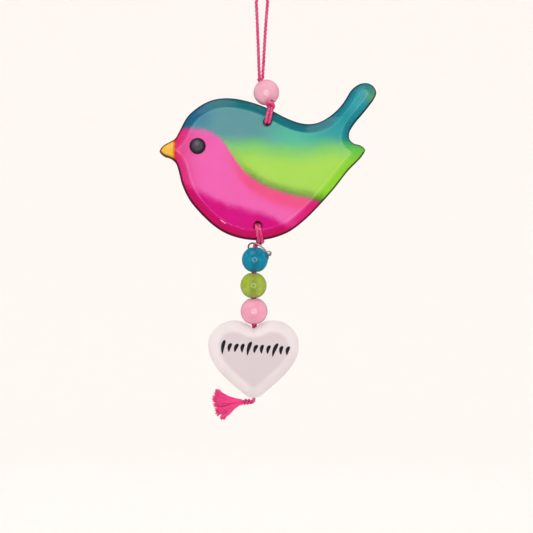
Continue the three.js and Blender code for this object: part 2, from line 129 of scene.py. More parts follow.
# The beads: those on the string have a colour name, a centre and a radius each
UPRIGHT = (0.0, 0.0, 1.0)
TOP_BEAD = (1.7, 0.0, -39.2)
TOP_BEAD_RADIUS = 5.0
TOP_BORE_AXIS = (-0.33, 0.42, 0.845)
BORE_WAY = np.array(TOP_BORE_AXIS) / np.linalg.norm(TOP_BORE_AXIS)
STRING_BEADS = {
    "teal": ((-2.8, 0.0, -104.4), 5.05),
    "green": ((-3.3, 0.0, -114.45), 5.1),
    "pink": ((-3.1, 0.0, -124.5), 5.25),
}
BEAD_BORE = 1.1
BEAD_MOUTH = 1.8
TOP_MOUTH = 1.45

# The cord's painted highlight and painted shade colours, its knots, and the doubled cord inside the beads
CORD_HIGHLIGHT = "#FF90C4"
CORD_SHADE = "#4A0426"
TOP_KNOT = (-0.5, 2.8, -33.9)
KNOT_THREAD = 0.42
KNOT_RADIUS = 1.2
KNOT_HALF_HEIGHT = 0.95
LAST_KNOT_DROP = 5.5
CORE_RADIUS = 0.75

# The silver ring: how it leans back and rolls, and where its ball is on it
RING_CENTRE = (-1.5, 2.25, -101.45)
RING_RADIUS = 4.6
RING_WIRE = 0.34
RING_LEAN = math.radians(57.6)
RING_ROLL = math.radians(-40.1)
BALL_RADIUS = 1.1
BALL_ANGLE = math.radians(50)
BALL_OUT = 0.9

# The tassel
NECK_START = (-3.5, 0.0, -159.95)
NECK_END = (-8.0, 0.0, -159.8)
NECK_CORE = 0.78
NECK_WINDING = 0.95
NECK_THREAD = 0.38
NECK_PITCH = 1.2
SKIRT_AXIS = math.radians(190.5)
SKIRT_HALF_ANGLE = math.radians(35.8)
SKIRT_LENGTH = 11.3
SKIRT_HALF_DEPTH = 1.9
SKIRT_SHORTER = 0.08  # the share by which its lower side is shorter
CLUMPS = 46
GATHER = 0.42  # how far each thread leans to its clump
# The tassel's painted highlight and painted shade colours, for its wound and its loose threads
WOUND_HIGHLIGHT, WOUND_SHADE = "#FF86BC", "#8C0E48"
LOOSE_HIGHLIGHT, LOOSE_SHADE = "#FF62AC", "#B40C5A"

# The route of the hanging loop, in metres: up from the knot, over the hook and back down
LOOP_ROUTE = (
    (-0.00105, 0.0027, -0.03265),
    (-0.0011, 0.0026, -0.03115),
    (-0.00125, 0.0023, -0.028),
    (-0.00145, 0.00175, -0.022),
    (-0.0017, 0.0012, -0.016),
    (-0.0019, 0.00075, -0.011),
    (-0.0021, 0.00035, -0.0065),
    (-0.00215, 0.0001, -0.0036),
    (-0.00165, 0.0, -0.0014),
    (0.0, 0.0, -0.00065),
    (0.00165, 0.0, -0.0014),
    (0.00215, 0.0001, -0.0036),
    (0.00195, 0.00035, -0.0065),
    (0.0016, 0.00075, -0.011),
    (0.00125, 0.0012, -0.016),
    (0.0009, 0.00175, -0.022),
    (0.00055, 0.0023, -0.028),
    (0.00035, 0.0026, -0.03115),
    (0.0003, 0.0027, -0.03265),
)


def linear(code):
    """The linear colour of an sRGB hex value."""
    parts = [int(code[i : i + 2], 16) / 255 for i in (1, 3, 5)]
    return tuple(c / 12.92 if c <= 0.04045 else ((c + 0.055) / 1.055) ** 2.4 for c in parts)


def colour_property(label, code):
    """A colour that a user may change, with its sRGB hex default."""
    return FloatVectorProperty(name=label, default=linear(code), size=3, min=0, max=1, subtype="COLOR")


def length_property(label, millimetres):
    """A length that a user may change, with its default in millimetres."""
    return FloatProperty(name=label, default=millimetres * MM, min=0, subtype="DISTANCE", unit="LENGTH")


class SuncatcherSizes(bpy.types.PropertyGroup):
    """Sizes of the finished surfaces."""

    band_width: length_property("Width of the bird's rounded band", 3.9)
    band_drop: length_property("Fall of the bird's band", 2.3)
    heart_band: length_property("Width of the heart's rounded band", 4.4)
    heart_drop: length_property("Fall of the heart's band", 2.7)
    hole_radius: length_property("Radius of the drilled holes", 1.5)
    hole_chamfer: length_property("Width of the chamfer at their mouths", 0.45)
    cord_radius: length_property("Radius of the satin cord", 0.65)
    lay_length: length_property("Length of one turn of its plies", 4.6)
    tassel_thread: length_property("Radius of one thread of the tassel", 0.11)
    tassel_count: IntProperty(name="Threads of the tassel", default=620, min=20)


class SuncatcherColours(bpy.types.PropertyGroup):
    """Colours of the glass, the thread and the ink."""

    teal: colour_property("Back", "#78B4BC")
    # Painted shade: the rounded band is a darker teal than the middle
    teal_band_shade: colour_property("Back, rounded band", "#44A8B2")
    mint: colour_property("Back, near the tail", "#6CD4BA")
    teal_deep: colour_property("Tail", "#42B4C0")
    tail_tip: colour_property("Tail, tip", "#A4D094")
    blue: colour_property("Nape", "#569EC0")
    green: colour_property("Wing", "#C0F272")
    green_deep: colour_property("Wing, top", "#92E292")
    olive: colour_property("Wing, lower edge", "#7CAE5C")
    pink: colour_property("Breast", "#FF7ECE")
    coral: colour_property("Breast, under the wing", "#FF6AA2")
    crimson: colour_property("Cheek", "#F266B0")
    magenta: colour_property("Belly", "#E6189C")
    orange: colour_property("Gape", "#EE603C")
    beak: colour_property("Beak", "#FFE484")
    # Painted shade at the very edge of the glass and on the walls of its holes
    rim: colour_property("Very edge of the glass", "#3A2A50")
    eye: colour_property("Eye", "#5A5466")
    eye_blotch: colour_property("Eye, blotches", "#383340")
    # Painted shade at the foot of the eye's dome
    eye_foot_shade: colour_property("Eye, foot", "#15101C")
    bead_rose: colour_property("Top bead", "#FFBAD0")
    bead_teal: colour_property("Teal bead", "#009CBE")
    bead_green: colour_property("Green bead", "#AECA2C")
    bead_pink: colour_property("Pink bead", "#FFAECA")
    frost: colour_property("Heart", "#FEF8FA")
    # Painted shade: the heart's flat middle is greyer than its rounded band
    frost_middle_shade: colour_property("Heart, flat middle", "#ECE0E5")
    frost_cloud: colour_property("Heart, clouds", "#E9DEE4")
    ink: colour_property("Ink", "#16171E")
    ink_pool: colour_property("Ink, pools", "#2A2A33")
    cord: colour_property("Cord", "#E82478")
    tassel: colour_property("Tassel", "#FF1080")
    silver: colour_property("Silver", "#ECECF0")
    silver_rub: colour_property("Silver, rubbed", "#BCBCC2")


# Meshes


def deselect():
    """Leaves nothing selected, in object mode."""
    if bpy.context.mode != "OBJECT":
        bpy.ops.object.mode_set(mode="OBJECT")
    bpy.ops.object.select_all(action="DESELECT")


def choose(piece):
    """Selects one object and makes it active."""
    deselect()
    piece.select_set(True)
    bpy.context.view_layer.objects.active = piece


def new_piece(name, vertices, faces, edges=()):
    """An object of a mesh that is given in millimetres."""
    mesh = bpy.data.meshes.new(name)
    mesh.from_pydata((np.asarray(vertices, float) * MM).tolist(), list(edges), faces)
    piece = bpy.data.objects.new(name, mesh)
    bpy.context.collection.objects.link(piece)
    choose(piece)
    return piece


def store(piece, name, values):
    """Stores a value at each point of a piece, for its material."""
    attribute = piece.data.attributes.new(name, "FLOAT", "POINT")
    attribute.data.foreach_set("value", values.astype(np.float32))


@contextmanager
def editing(piece):
    """Holds a piece in edit mode with all of it selected, and leaves that mode again."""
    choose(piece)
    bpy.ops.object.mode_set(mode="EDIT")
    bpy.ops.mesh.select_all(action="SELECT")
    yield
    bpy.ops.object.mode_set(mode="OBJECT")


def outward(piece):
    """Merges doubled points and turns every face outwards."""
    with editing(piece):
        bpy.ops.mesh.remove_doubles(threshold=1e-7)
        bpy.ops.mesh.normals_make_consistent(inside=False)


def combine(piece, other, operation):
    """Joins another piece to a piece or cuts it away, and removes the other."""
    joint = piece.modifiers.new("joint", "BOOLEAN")
    joint.operation = operation
    joint.solver = "EXACT"
    joint.object = other
    choose(piece)
    bpy.ops.object.modifier_apply(modifier="joint")
    bpy.data.objects.remove(other)


def smooth(piece, angle=None):
    """Shades a piece smooth, but for edges sharper than the angle."""
    choose(piece)
    if angle is None:
        bpy.ops.object.shade_smooth()
    else:
        bpy.ops.object.shade_smooth_by_angle(angle=math.radians(angle))


def turned_piece(name, profile, centre, axis=UPRIGHT, steps=64):
    """A piece turned from a profile of (radius, height) pairs, on an axis through its centre."""
    points = [(radius, 0, height) for radius, height in profile]
    edges = [(i, i + 1) for i in range(len(points) - 1)]
    piece = new_piece(name, points, [], edges)
    with editing(piece):
        bpy.ops.mesh.spin(steps=steps, angle=2 * math.pi, center=(0, 0, 0), axis=UPRIGHT)
    outward(piece)
    turn = Vector(UPRIGHT).rotation_difference(Vector(axis)).to_matrix().to_4x4()
    piece.data.transform(Matrix.Translation(Vector(centre) * MM) @ turn)
    return piece


def finish_piece(piece, material, *nodes, slot=None, lit=None):
    """Gives a piece its material, its body, the nodes that it stands for and the lamps' group."""
    piece.data.materials.clear()
    piece.data.materials.append(material)
    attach(piece, BODY)
    if nodes:
        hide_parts(*nodes)
    if lit:
        lit_group(lit).objects.link(piece)
    deselect()
    return piece


class Builder:
    """What the operators share: each one builds its pieces with the scene's sizes and colours."""

    def execute(self, context):
        self.build(context.scene.suncatcher_sizes, context.scene.suncatcher_colours)
        return {"FINISHED"}


# Lines and threads


def smooth_line(points, step, closed=False):
    """Points about a step apart on the smooth curve through the given ones."""
    knots = np.array(points, float)
    if closed:
        padded = np.vstack([knots[-1:], knots, knots[:2]])
    else:
        padded = np.vstack([2 * knots[0] - knots[1], knots, 2 * knots[-1] - knots[-2]])
    share = np.linspace(0, 1, 16, endpoint=False)[:, None]
    pieces = []
    for a, b, c, d in zip(padded, padded[1:], padded[2:], padded[3:]):
        ab, bc, cd = (max(np.linalg.norm(q - p), 1e-9) ** 0.5 for p, q in ((a, b), (b, c), (c, d)))
        leave = bc * ((b - a) / ab - (c - a) / (ab + bc) + (c - b) / bc)
        arrive = bc * ((c - b) / bc - (d - b) / (bc + cd) + (d - c) / cd)
        cubic = 2 * b - 2 * c + leave + arrive
        square = 3 * (c - b) - 2 * leave - arrive
        pieces.append(b + share * leave + share**2 * square + share**3 * cubic)
    line = np.vstack([*pieces, knots[:1] if closed else knots[-1:]])
    along = np.concatenate([[0], np.cumsum(np.linalg.norm(np.diff(line, axis=0), axis=1))])
    count = max(2, round(along[-1] / step) + 1)
    at = np.linspace(0, along[-1], count)
    even = np.stack([np.interp(at, along, line[:, k]) for k in range(line.shape[1])], axis=1)
    return even[:-1] if closed else even


def carried_frames(line, closed=False):
    """Two directions across a line at each of its points, carried along without twist."""
    if closed:
        ahead = np.roll(line, -1, axis=0) - np.roll(line, 1, axis=0)
    else:
        ahead = np.gradient(line, axis=0)
    ahead = ahead / np.linalg.norm(ahead, axis=1)[:, None]
    start = np.cross(ahead[0], (0.31, 0.87, 0.39))  # any direction that no line here starts in
    across = np.zeros_like(line)
    across[0] = start / np.linalg.norm(start)
    for i in range(1, len(line)):
        carried = across[i - 1] - ahead[i] * (across[i - 1] @ ahead[i])
        across[i] = carried / np.linalg.norm(carried)
    return across, np.cross(ahead, across)


def ply_section(plies, sides):
    """Directions round a cord of several plies, and its radius in each as a share of the whole."""
    ply = 1 / (1 + 1 / math.sin(math.pi / plies))
    out = 1 - ply
    span = 2 * math.pi / plies
    angles = (np.arange(sides) + 0.5) / sides * 2 * math.pi
    off = np.mod(angles, span) - span / 2
    reach = out * np.cos(off) + np.sqrt(np.clip(ply**2 - (out * np.sin(off)) ** 2, 0, None))
    GROOVE = 0.78  # the grooves are filled by the soft thread below this share
    return angles, np.maximum(reach, GROOVE)


class ThreadMesh:
    """Gathers swept threads into one mesh, with their own map along and round each."""

    def __init__(self):
        self.vertices, self.faces, self.map, self.shade = [], [], [], []
        self.count = 0

    def add(self, line, radius, plies=1, sides=6, lay=0.0, shade=0.5, taper=0.0, closed=False):
        """Sweeps a thread along a line. Taper is the length over which its ends round off."""
        line = np.asarray(line, float)
        across, beside = carried_frames(line, closed)
        hops = np.linalg.norm(np.diff(line, axis=0), axis=1)
        along = np.concatenate([[0], np.cumsum(hops)])
        if plies > 1:
            angles, reach = ply_section(plies, sides)
        else:
            angles = np.arange(sides) / sides * 2 * math.pi
            reach = np.ones(sides)
        turn = 2 * math.pi * along / lay if lay else np.zeros(len(line))
        theta = angles[None, :] + turn[:, None]
        size = np.full(len(line), float(radius))
        if taper:
            near_end = np.minimum(along, along[-1] - along) / taper
            size *= np.sqrt(np.clip(1 - (1 - np.clip(near_end, 0, 1)) ** 2, 0.04, 1))
        ring = np.cos(theta)[..., None] * across[:, None] + np.sin(theta)[..., None] * beside[:, None]
        points = line[:, None] + ring * (size[:, None] * reach[None, :])[..., None]
        first, rows = self.count, len(line)
        self.vertices.append(points.reshape(-1, 3))
        self.shade.append(np.full(rows * sides, shade))
        self.count += rows * sides
        last_row = rows if closed else rows - 1
        for i in range(last_row):
            here, there = first + i * sides, first + (i + 1) % rows * sides
            v, w = along[i], along[i + 1] if i + 1 < rows else along[i] + hops[0]
            for j in range(sides):
                k = (j + 1) % sides
                self.faces.append((here + j, here + k, there + k, there + j))
                self.map += [(j / sides, v), ((j + 1) / sides, v), ((j + 1) / sides, w), (j / sides, w)]
        if not closed:
            self.faces.append(tuple(range(first + sides - 1, first - 1, -1)))
            self.faces.append(tuple(range(first + (rows - 1) * sides, first + rows * sides)))
            self.map += [(0.5, 0.0)] * sides + [(0.5, along[-1])] * sides

    def piece(self, name):
        """Makes the object."""
        made = new_piece(name, np.vstack(self.vertices), self.faces)
        layer = made.data.uv_layers.new(name="thread")
        layer.data.foreach_set("uv", np.array(self.map, np.float32).ravel())
        store(made, "shade", np.concatenate(self.shade))
        smooth(made, 50)
        return made


def knot_line(centre, half_width, half_height, turn=0.0):
    """A closed overhand knot round an upright cord."""
    t = np.linspace(0, 2 * math.pi, 72, endpoint=False)
    a = (half_width - KNOT_THREAD) / 3
    x = a * (np.sin(t) + 2 * np.sin(2 * t))
    y = a * (np.cos(t) - 2 * np.cos(2 * t))
    z = -(half_height - KNOT_THREAD) * np.sin(3 * t)
    c, s = math.cos(turn), math.sin(turn)
    return np.stack([x * c - y * s, x * s + y * c, z], axis=1) + centre


STRAND_OFFSET = 0.62  # half the distance between the two strands of the doubled cord
PINCHED_OFFSET = 0.45  # the same where the hitch pulls them together


def hitch_line(hole, edge, up, near, slant, tilt, over, crossing, ends):
    """The route of a cow hitch round the glass between a hole and the bird's edge, in millimetres.

    Each point is across from the middle of the strands, deep towards the side where the loop of
    the hitch crosses, and risen from the hole towards the edge. The ends are where the cord comes
    from at the right and goes to at the left, as plain places.
    """
    strand = STRAND_OFFSET
    half = [
        (PINCHED_OFFSET, 3.42, edge + 0.3),
        (strand, 3.62, edge - 1.5),
        (strand, 3.62, 1.8),
    ]
    # Through the hole the strands sink from its near side in front to its far side at the back
    through = [
        (strand, 3.2, 0.35),
        (0.6, 1.7, -0.3),
        (0.62, -0.6, -0.75),
        (0.66, -2.7, -1.05),
        (0.78, -3.6, 0.1),
    ]
    if near < 0:
        through = [(across, -depth, rise) for across, depth, rise in reversed(through)]
    half += [*through, (strand, -3.7, 1.8)]
    half += [(strand, depth, edge + above) for depth, above in over]
    half += [(across, depth, edge + above) for across, depth, above in crossing]
    middle = half.pop()

    def place(across, depth, rise):
        x = hole[0] + slant * min(rise, edge) + across
        return (x, -near * depth, hole[1] + up * rise + tilt * across * rise / edge)

    left = [(-across, depth, rise) for across, depth, rise in reversed(half)]
    middle_part = [place(*p) for p in (*half, middle, *left)]
    return [*ends[0], *middle_part, *reversed(ends[1])]


def top_hitch_line():
    """The upper cord, from the bead's lower front down through the bird's upper hole and back."""

    def in_bead(share, across, depth):
        return TOP_BEAD - BORE_WAY * share * TOP_BEAD_RADIUS + (across, depth, 0)

    ends = [
        [in_bead(0.9, side * 0.6, 0), in_bead(1.04, side * STRAND_OFFSET, -0.35)] for side in (1, -1)
    ]
    return hitch_line(
        hole=UPPER_HOLE,
        edge=4.85,
        up=1,
        near=1,
        slant=0.25,
        tilt=-0.25,
        over=((-3.7, -0.8), (-2.85, 0.75), (-0.6, 1.05)),
        crossing=((0.95, 1.4, 1.1), (1.15, 3.1, 1.45), (1.1, 4.4, 1.95), (0.65, 5.0, 2.3), (0, 5.1, 2.4)),
        ends=ends,
    )


def lower_hitch_line():
    """The lower cord's hitch, from the teal bead up through the bird's lower hole and back."""
    (x, _, z), radius = STRING_BEADS["teal"]
    top = z + radius
    ends = [
        [
            (x + side * 0.3, 0, top - 0.6),
            (x + 0.45 + side * 0.5, 0.5, top + 0.7),
            (-1.1 + side * 0.62, 2.0, top + 1.25),
        ]
        for side in (1, -1)
    ]
    return hitch_line(
        hole=LOWER_HOLE,
        edge=5.5,
        up=-1,
        near=-1,
        slant=0.16,
        tilt=0,
        over=((-3.45, -2.4), (-2.75, -1.1), (-1.8, -0.1), (-0.6, 0.75)),
        crossing=((0.8, 1.4, 0.85), (1.05, 3.0, 0.6), (1.05, 4.4, 0.1), (0.65, 5.0, -0.2), (0, 5.1, -0.2)),
        ends=ends,
    )


def string_line():
    """The doubled cord through the beads and the heart to the tassel's neck."""
    (x, _, z), radius = STRING_BEADS["teal"]
    return [
        (x, 0, z + radius - 0.2),
        *[centre for centre, _ in STRING_BEADS.values()],
        (HEART_AXIS, 0, HEART_NOTCH),
        (HEART_AXIS, 0, HEART_TIP + 1.5),
        (HEART_AXIS + 0.15, 0, HEART_TIP - 0.3),
        (HEART_AXIS + 0.12, 0, HEART_TIP - 0.85),
        (HEART_AXIS - 0.5, 0, HEART_TIP - 1.45),
        (NECK_START[0] - 0.9, 0, NECK_START[2] + 0.2),
    ]


# Glass slabs


def rim_of(node, depth):
    """The outline of a CAD slab, in order: its points at the depth of its rim, as X and Z in mm."""
    shell = bmesh.new()
    shell.from_mesh(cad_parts[node].data)
    bmesh.ops.remove_doubles(shell, verts=shell.verts, dist=1e-6)
    ring = {v for v in shell.verts if abs(v.co.y / MM - depth) < 0.01}
    beside = {v: [e.other_vert(v) for e in v.link_edges if e.other_vert(v) in ring] for v in ring}
    ends = [v for v in ring if len(beside[v]) == 1]
    here = min(ends or ring, key=lambda v: v.co.x)
    walk = [here]
    seen = {here}
    while True:
        ahead = [v for v in beside[here] if v not in seen]
        if not ahead:
            break
        here = min(ahead, key=lambda v: (v.co - here.co).length)
        walk.append(here)
        seen.add(here)
    outline = np.array([(v.co.x, v.co.z) for v in walk]) / MM
    shell.free()
    return outline


def counter_clockwise(outline):
    """The outline, turned if need be so that its inside is on its left."""
    x, z = outline.T
    area = np.sum(x * np.roll(z, -1) - np.roll(x, -1) * z)
    return outline if area > 0 else outline[::-1]


def distance_to(points, outline):
    """How far each point is from a closed outline."""
    a, b = outline, np.roll(outline, -1, axis=0)
    best = np.full(len(points), np.inf)
    for p, q in zip(a, b):
        d = q - p
        t = np.clip((points - p) @ d / (d @ d), 0, 1)
        best = np.minimum(best, np.linalg.norm(points - p - t[:, None] * d, axis=1))
    return best


def soft_distance(points, outline):
    """Distance to an outline, with no crease where two stretches of it are equally far."""
    POWER = 9
    EXACT = 0.5  # up to this distance it is exact, and from twice as far it is soft
    CHUNK = 500  # points at a time, to need less memory
    dense = smooth_line(outline, 0.1, closed=True)
    step = np.linalg.norm(dense[1] - dense[0])
    straight = math.sqrt(math.pi) * math.gamma((POWER - 1) / 2) / math.gamma(POWER / 2)
    exact = distance_to(points, outline)
    soft = exact.copy()
    for start in range(0, len(points), CHUNK):
        part = points[start : start + CHUNK]
        apart = np.linalg.norm(part[:, None] - dense[None], axis=2)
        pull = np.sum(np.maximum(apart, step) ** -POWER, axis=1) * step
        soft[start : start + CHUNK] = (pull / straight) ** (-1 / (POWER - 1))
    mix = np.clip((exact - EXACT) / EXACT, 0, 1)
    return exact * (1 - mix) + soft * mix


def within(points, outline):
    """Whether each point is inside a closed outline."""
    inside = np.zeros(len(points), bool)
    x, z = points.T
    for (x1, z1), (x2, z2) in zip(outline, np.roll(outline, -1, axis=0)):
        crosses = (z1 > z) != (z2 > z)
        if crosses.any():
            at = (x2 - x1) * (z[crosses] - z1) / (z2 - z1) + x1
            inside[crosses] ^= x[crosses] < at
    return inside


def circle(centre, radius):
    """Points round a circle."""
    COUNT = 40
    angle = np.arange(COUNT) / COUNT * 2 * math.pi
    return np.stack([centre[0] + radius * np.cos(angle), centre[1] + radius * np.sin(angle)], axis=1)


def inward(outline):
    """The directions straight into a counter-clockwise outline at its points."""
    along_x, along_z = (np.roll(outline, -1, axis=0) - np.roll(outline, 1, axis=0)).T
    across = np.stack([-along_z, along_x], axis=1)
    return across / np.linalg.norm(across, axis=1)[:, None]


def slab_lattice(outline, insets, spacing, holes):
    """Points and triangles that fill an outline, finer near its edge, round the holes' rims."""
    CLEAR = 0.3  # millimetres from a hole in which there are no other points
    GROWN = (1.12, 1.3)  # rings of points round a hole, each as a share of its size
    loops = [outline, *holes]
    kept = []
    for inset in insets:
        ring = outline + inward(outline) * inset
        clear = (distance_to(ring, outline) > 0.97 * inset) & within(ring, outline)
        kept.append(ring[clear])
    lo, hi = outline.min(axis=0), outline.max(axis=0)
    rows = np.arange(lo[1], hi[1], spacing * math.sqrt(3) / 2)
    columns = np.arange(lo[0], hi[0], spacing)
    grid = np.array([(x + (i % 2) * spacing / 2, z) for i, z in enumerate(rows) for x in columns])
    grid = grid[within(grid, outline)]
    kept.append(grid[distance_to(grid, outline) > insets[-1] + 0.6 * spacing])
    free = np.vstack(kept)
    for hole in holes:
        free = free[~within(free, hole)]
        free = free[distance_to(free, hole) > CLEAR]
    for hole in holes:
        middle = hole.mean(axis=0)
        for grow in GROWN:
            free = np.vstack([free, middle + (hole - middle) * grow])
    points = np.vstack([*loops, free])
    edges, start = [], 0
    for loop in loops:
        count = len(loop)
        edges += [(start + i, start + (i + 1) % count) for i in range(count)]
        start += count
    made = delaunay_2d_cdt([Vector(p) for p in points], edges, [], 0, 1e-5, True)
    spots = np.array([tuple(p) for p in made[0]])
    triangles = np.array(made[2])
    origin = {}
    for new, olds in enumerate(made[3]):
        for old in olds:
            origin[old] = new
    middle = spots[triangles].mean(axis=1)
    inside = within(middle, outline)
    for hole in holes:
        inside &= ~within(middle, hole)
    start, borders = 0, []
    for loop in loops:
        borders.append([origin[start + i] for i in range(len(loop))])
        start += len(loop)
    return spots, triangles[inside], borders


def glass_slab(name, outline, front, back, insets, spacing, wall, holes=(), profile=(), stretch=None):
    """A slab of glass with a shaped front and back and drilled holes, as one closed mesh.

    Front and back give the depth of each face at a distance from the edge. Wall has the depths of
    rows on the upright edge. The profile of the holes goes from the front to the back, as radius
    and depth. Stretch gives what the distance from the edge is multiplied by where it is stored.
    """
    mouths = [circle(place, profile[0][0]) for place in holes]
    spots, triangles, borders = slab_lattice(outline, insets, spacing, mouths)
    edge = soft_distance(spots, outline)
    edge[borders[0]] = 0.0
    x, z = spots.T
    stored = edge * stretch(x, z) if stretch else edge
    # The painted dark rim shade is wider at the lower left, where less light gets in
    FEW = 4  # every fourth point of the outline is near enough
    away = np.linalg.norm(spots[:, None] - outline[None, ::FEW], axis=2)
    nearest = np.argmin(away, axis=1) * FEW
    lee = np.clip(-inward(outline) @ LEE / np.linalg.norm(LEE), -0.5, 1)[nearest]
    vertices, marks, faces = [], {"edge": [], "bore": [], "rim": []}, []
    total = 0

    def add_row(x, y, z, **values):
        """Adds points with what is stored at each, and gives their numbers."""
        nonlocal total
        vertices.append(np.stack([x, np.broadcast_to(y, x.shape), z], axis=1))
        for mark, parts in marks.items():
            parts.append(np.broadcast_to(values[mark], x.shape))
        total += len(x)
        return list(range(total - len(x), total))

    front_row = add_row(x, front(edge, x, z), z, edge=stored, bore=0, rim=edge / (1 + LEE_RIM * lee))
    back_row = add_row(x, back(edge, x, z), z, edge=stored, bore=0, rim=edge + BACK_RIM)
    faces += [tuple(t) for t in triangles]
    faces += [tuple(back_row[i] for i in reversed(t)) for t in triangles]
    margin = spots[borders[0]]
    rims = [(borders[0], [(margin, depth) for depth in wall], {"edge": 0, "bore": 0, "rim": WALL_RIM})]
    # The walls of the holes get the full painted rim shade
    for place, border in zip(holes, borders[1:]):
        rings = [(circle(place, radius), depth) for radius, depth in profile[1:-1]]
        rims.append((border, rings, {"edge": stored[border], "bore": 1, "rim": 0}))
    for border, rings, values in rims:
        rows = [[front_row[i] for i in border]]
        rows += [add_row(ring[:, 0], depth, ring[:, 1], **values) for ring, depth in rings]
        rows.append([back_row[i] for i in border])
        for upper, lower in zip(rows, rows[1:]):
            for i, j in zip(range(len(upper)), [*range(1, len(upper)), 0]):
                faces.append((upper[j], upper[i], lower[i], lower[j]))
    piece = new_piece(name, np.vstack(vertices), faces)
    for mark, parts in marks.items():
        store(piece, mark, np.concatenate(parts))
    return piece


def band_drop(distance, width, drop, crease=0.55):
    """How far a face has fallen back at a distance from the edge, with a soft crest at the width.

    The crease is how much of the fall is straight, which makes the crest sharper.
    """
    left = np.clip(1 - distance / width, 0, None)
    return drop * (crease * left + (1 - crease) * left**2.2)


# Materials


def add_node(tree, kind, *values, output=None, curve=None, **settings):
    """Adds a shader node with its settings, and gives one of its outputs.

    The values are plain ones or outputs of other nodes. They go to the node's inputs in their
    order, and None leaves an input as it is.
    """
    node = tree.nodes.new("ShaderNode" + kind)
    for name, value in settings.items():
        setattr(node, name, value)
    if curve:
        line = node.mapping.curves[0]
        for _ in curve[2:]:
            line.points.new(0.5, 0.5)
        for point, spot in zip(line.points, curve):
            point.location = spot
        node.mapping.update()
    for socket, value in zip([s for s in node.inputs if s.enabled], values):
        if isinstance(value, bpy.types.NodeSocket):
            tree.links.new(value, socket)
        elif value is not None:
            socket.default_value = (*value, 1) if socket.type == "RGBA" else value
    return next(s for s in node.outputs if s.enabled and output in (None, s.name))


def new_material(name, **values):
    """A material of one shader with plain values, with a function that adds nodes, and the shader."""
    material = bpy.data.materials.new(name)
    material.use_nodes = True
    tree = material.node_tree
    tree.nodes.clear()
    shader = tree.nodes.new("ShaderNodeBsdfPrincipled")
    for socket, value in values.items():
        shader.inputs[socket.replace("_", " ")].default_value = value
    result = tree.nodes.new("ShaderNodeOutputMaterial")
    tree.links.new(shader.outputs[0], result.inputs[0])
    return material, partial(add_node, tree), shader


def connect(shader, **links):
    """Links outputs of other nodes to the shader's sockets of these names."""
    for socket, value in links.items():
        shader.id_data.links.new(value, shader.inputs[socket.replace("_", " ")])


def two_tones(name, first, second, size, detail, rough, **values):
    """A material that drifts between two colours, and between two roughnesses, in spots of a size."""
    material, add, shader = new_material(name, **values)
    spots = add("TexNoise", add("TexCoord", output="Object"), 1 / (size * MM), detail)
    colour = add("Mix", spots, first, second, data_type="RGBA")
    connect(shader, Base_Color=colour, Roughness=add("MapRange", spots, 0, 1, *rough))
    return material, add, shader


# The areas of sprayed colour on the bird. Each line is the top of the colour below it, as X and Z
# in millimetres, and covers the part that these two ranges hold.
AREA_X = (-45.0, 50.0)
AREA_Z = (-100.0, -30.0)
BREAST_LINE = (
    (-45, -53.2),
    (-30.8, -53.3),
    (-22.2, -54.0),
    (-18.0, -56.0),
    (-15.0, -58.5),
    (-12.6, -62.0),
    (-9.0, -67.3),
    (-4.9, -71.7),
    (0, -74.9),
    (5.3, -77.2),
    (11.2, -79.0),
    (17.2, -80.2),
    (25.0, -82.4),
    (50, -90),
)
WING_LINE = (
    (-45, -57.0),
    (-20.0, -57.6),
    (-12.6, -58.0),
    (-2.0, -58.0),
    (7.0, -59.2),
    (16.0, -59.6),
    (28.0, -58.3),
    (34.0, -58.6),
    (50, -57.5),
)
BELLY_LINE = (
    (-45, -70),
    (-30, -75.5),
    (-23.4, -78.2),
    (-15.0, -82.4),
    (-5.5, -84.9),
    (4.1, -88.0),
    (10.1, -91.2),
    (50, -99),
)

# How deep the colour is drawn at distances from the edge, in millimetres: deepest at the edge, as painted
# shade for light coming through more glass there, and palest on the crest of the rounded band, a painted
# highlight
PAINTED_BAND_SHADING = (
    (0.0, 0.72),
    (0.5, 0.7),
    (1.0, 0.6),
    (3.3, 0.56),
    (3.7, 0.44),
    (3.95, 0.33),
    (4.3, 0.37),
    (6.0, 0.38),
)
DEEPEST = 3.0  # the power that a colour is raised to where the depth is 1
BORE_SHADE_DEPTH = 0.6  # what the depth gains inside the holes, as painted shade in the recess
TIP_DEPTH = -0.13  # the same at the tail's tip, where the painted margin shade is lighter
FULL_RIM, NO_RIM = 0.4, 0.78  # how far from the edge the painted dark rim shade is full, and where it ends


def in_area(line, risen=0.0):
    """Points of a line as shares of the ranges that the curves cover."""
    (x0, x1), (z0, z1) = AREA_X, AREA_Z
    return [((x - x0) / (x1 - x0), (z + risen - z0) / (z1 - z0)) for x, z in line]


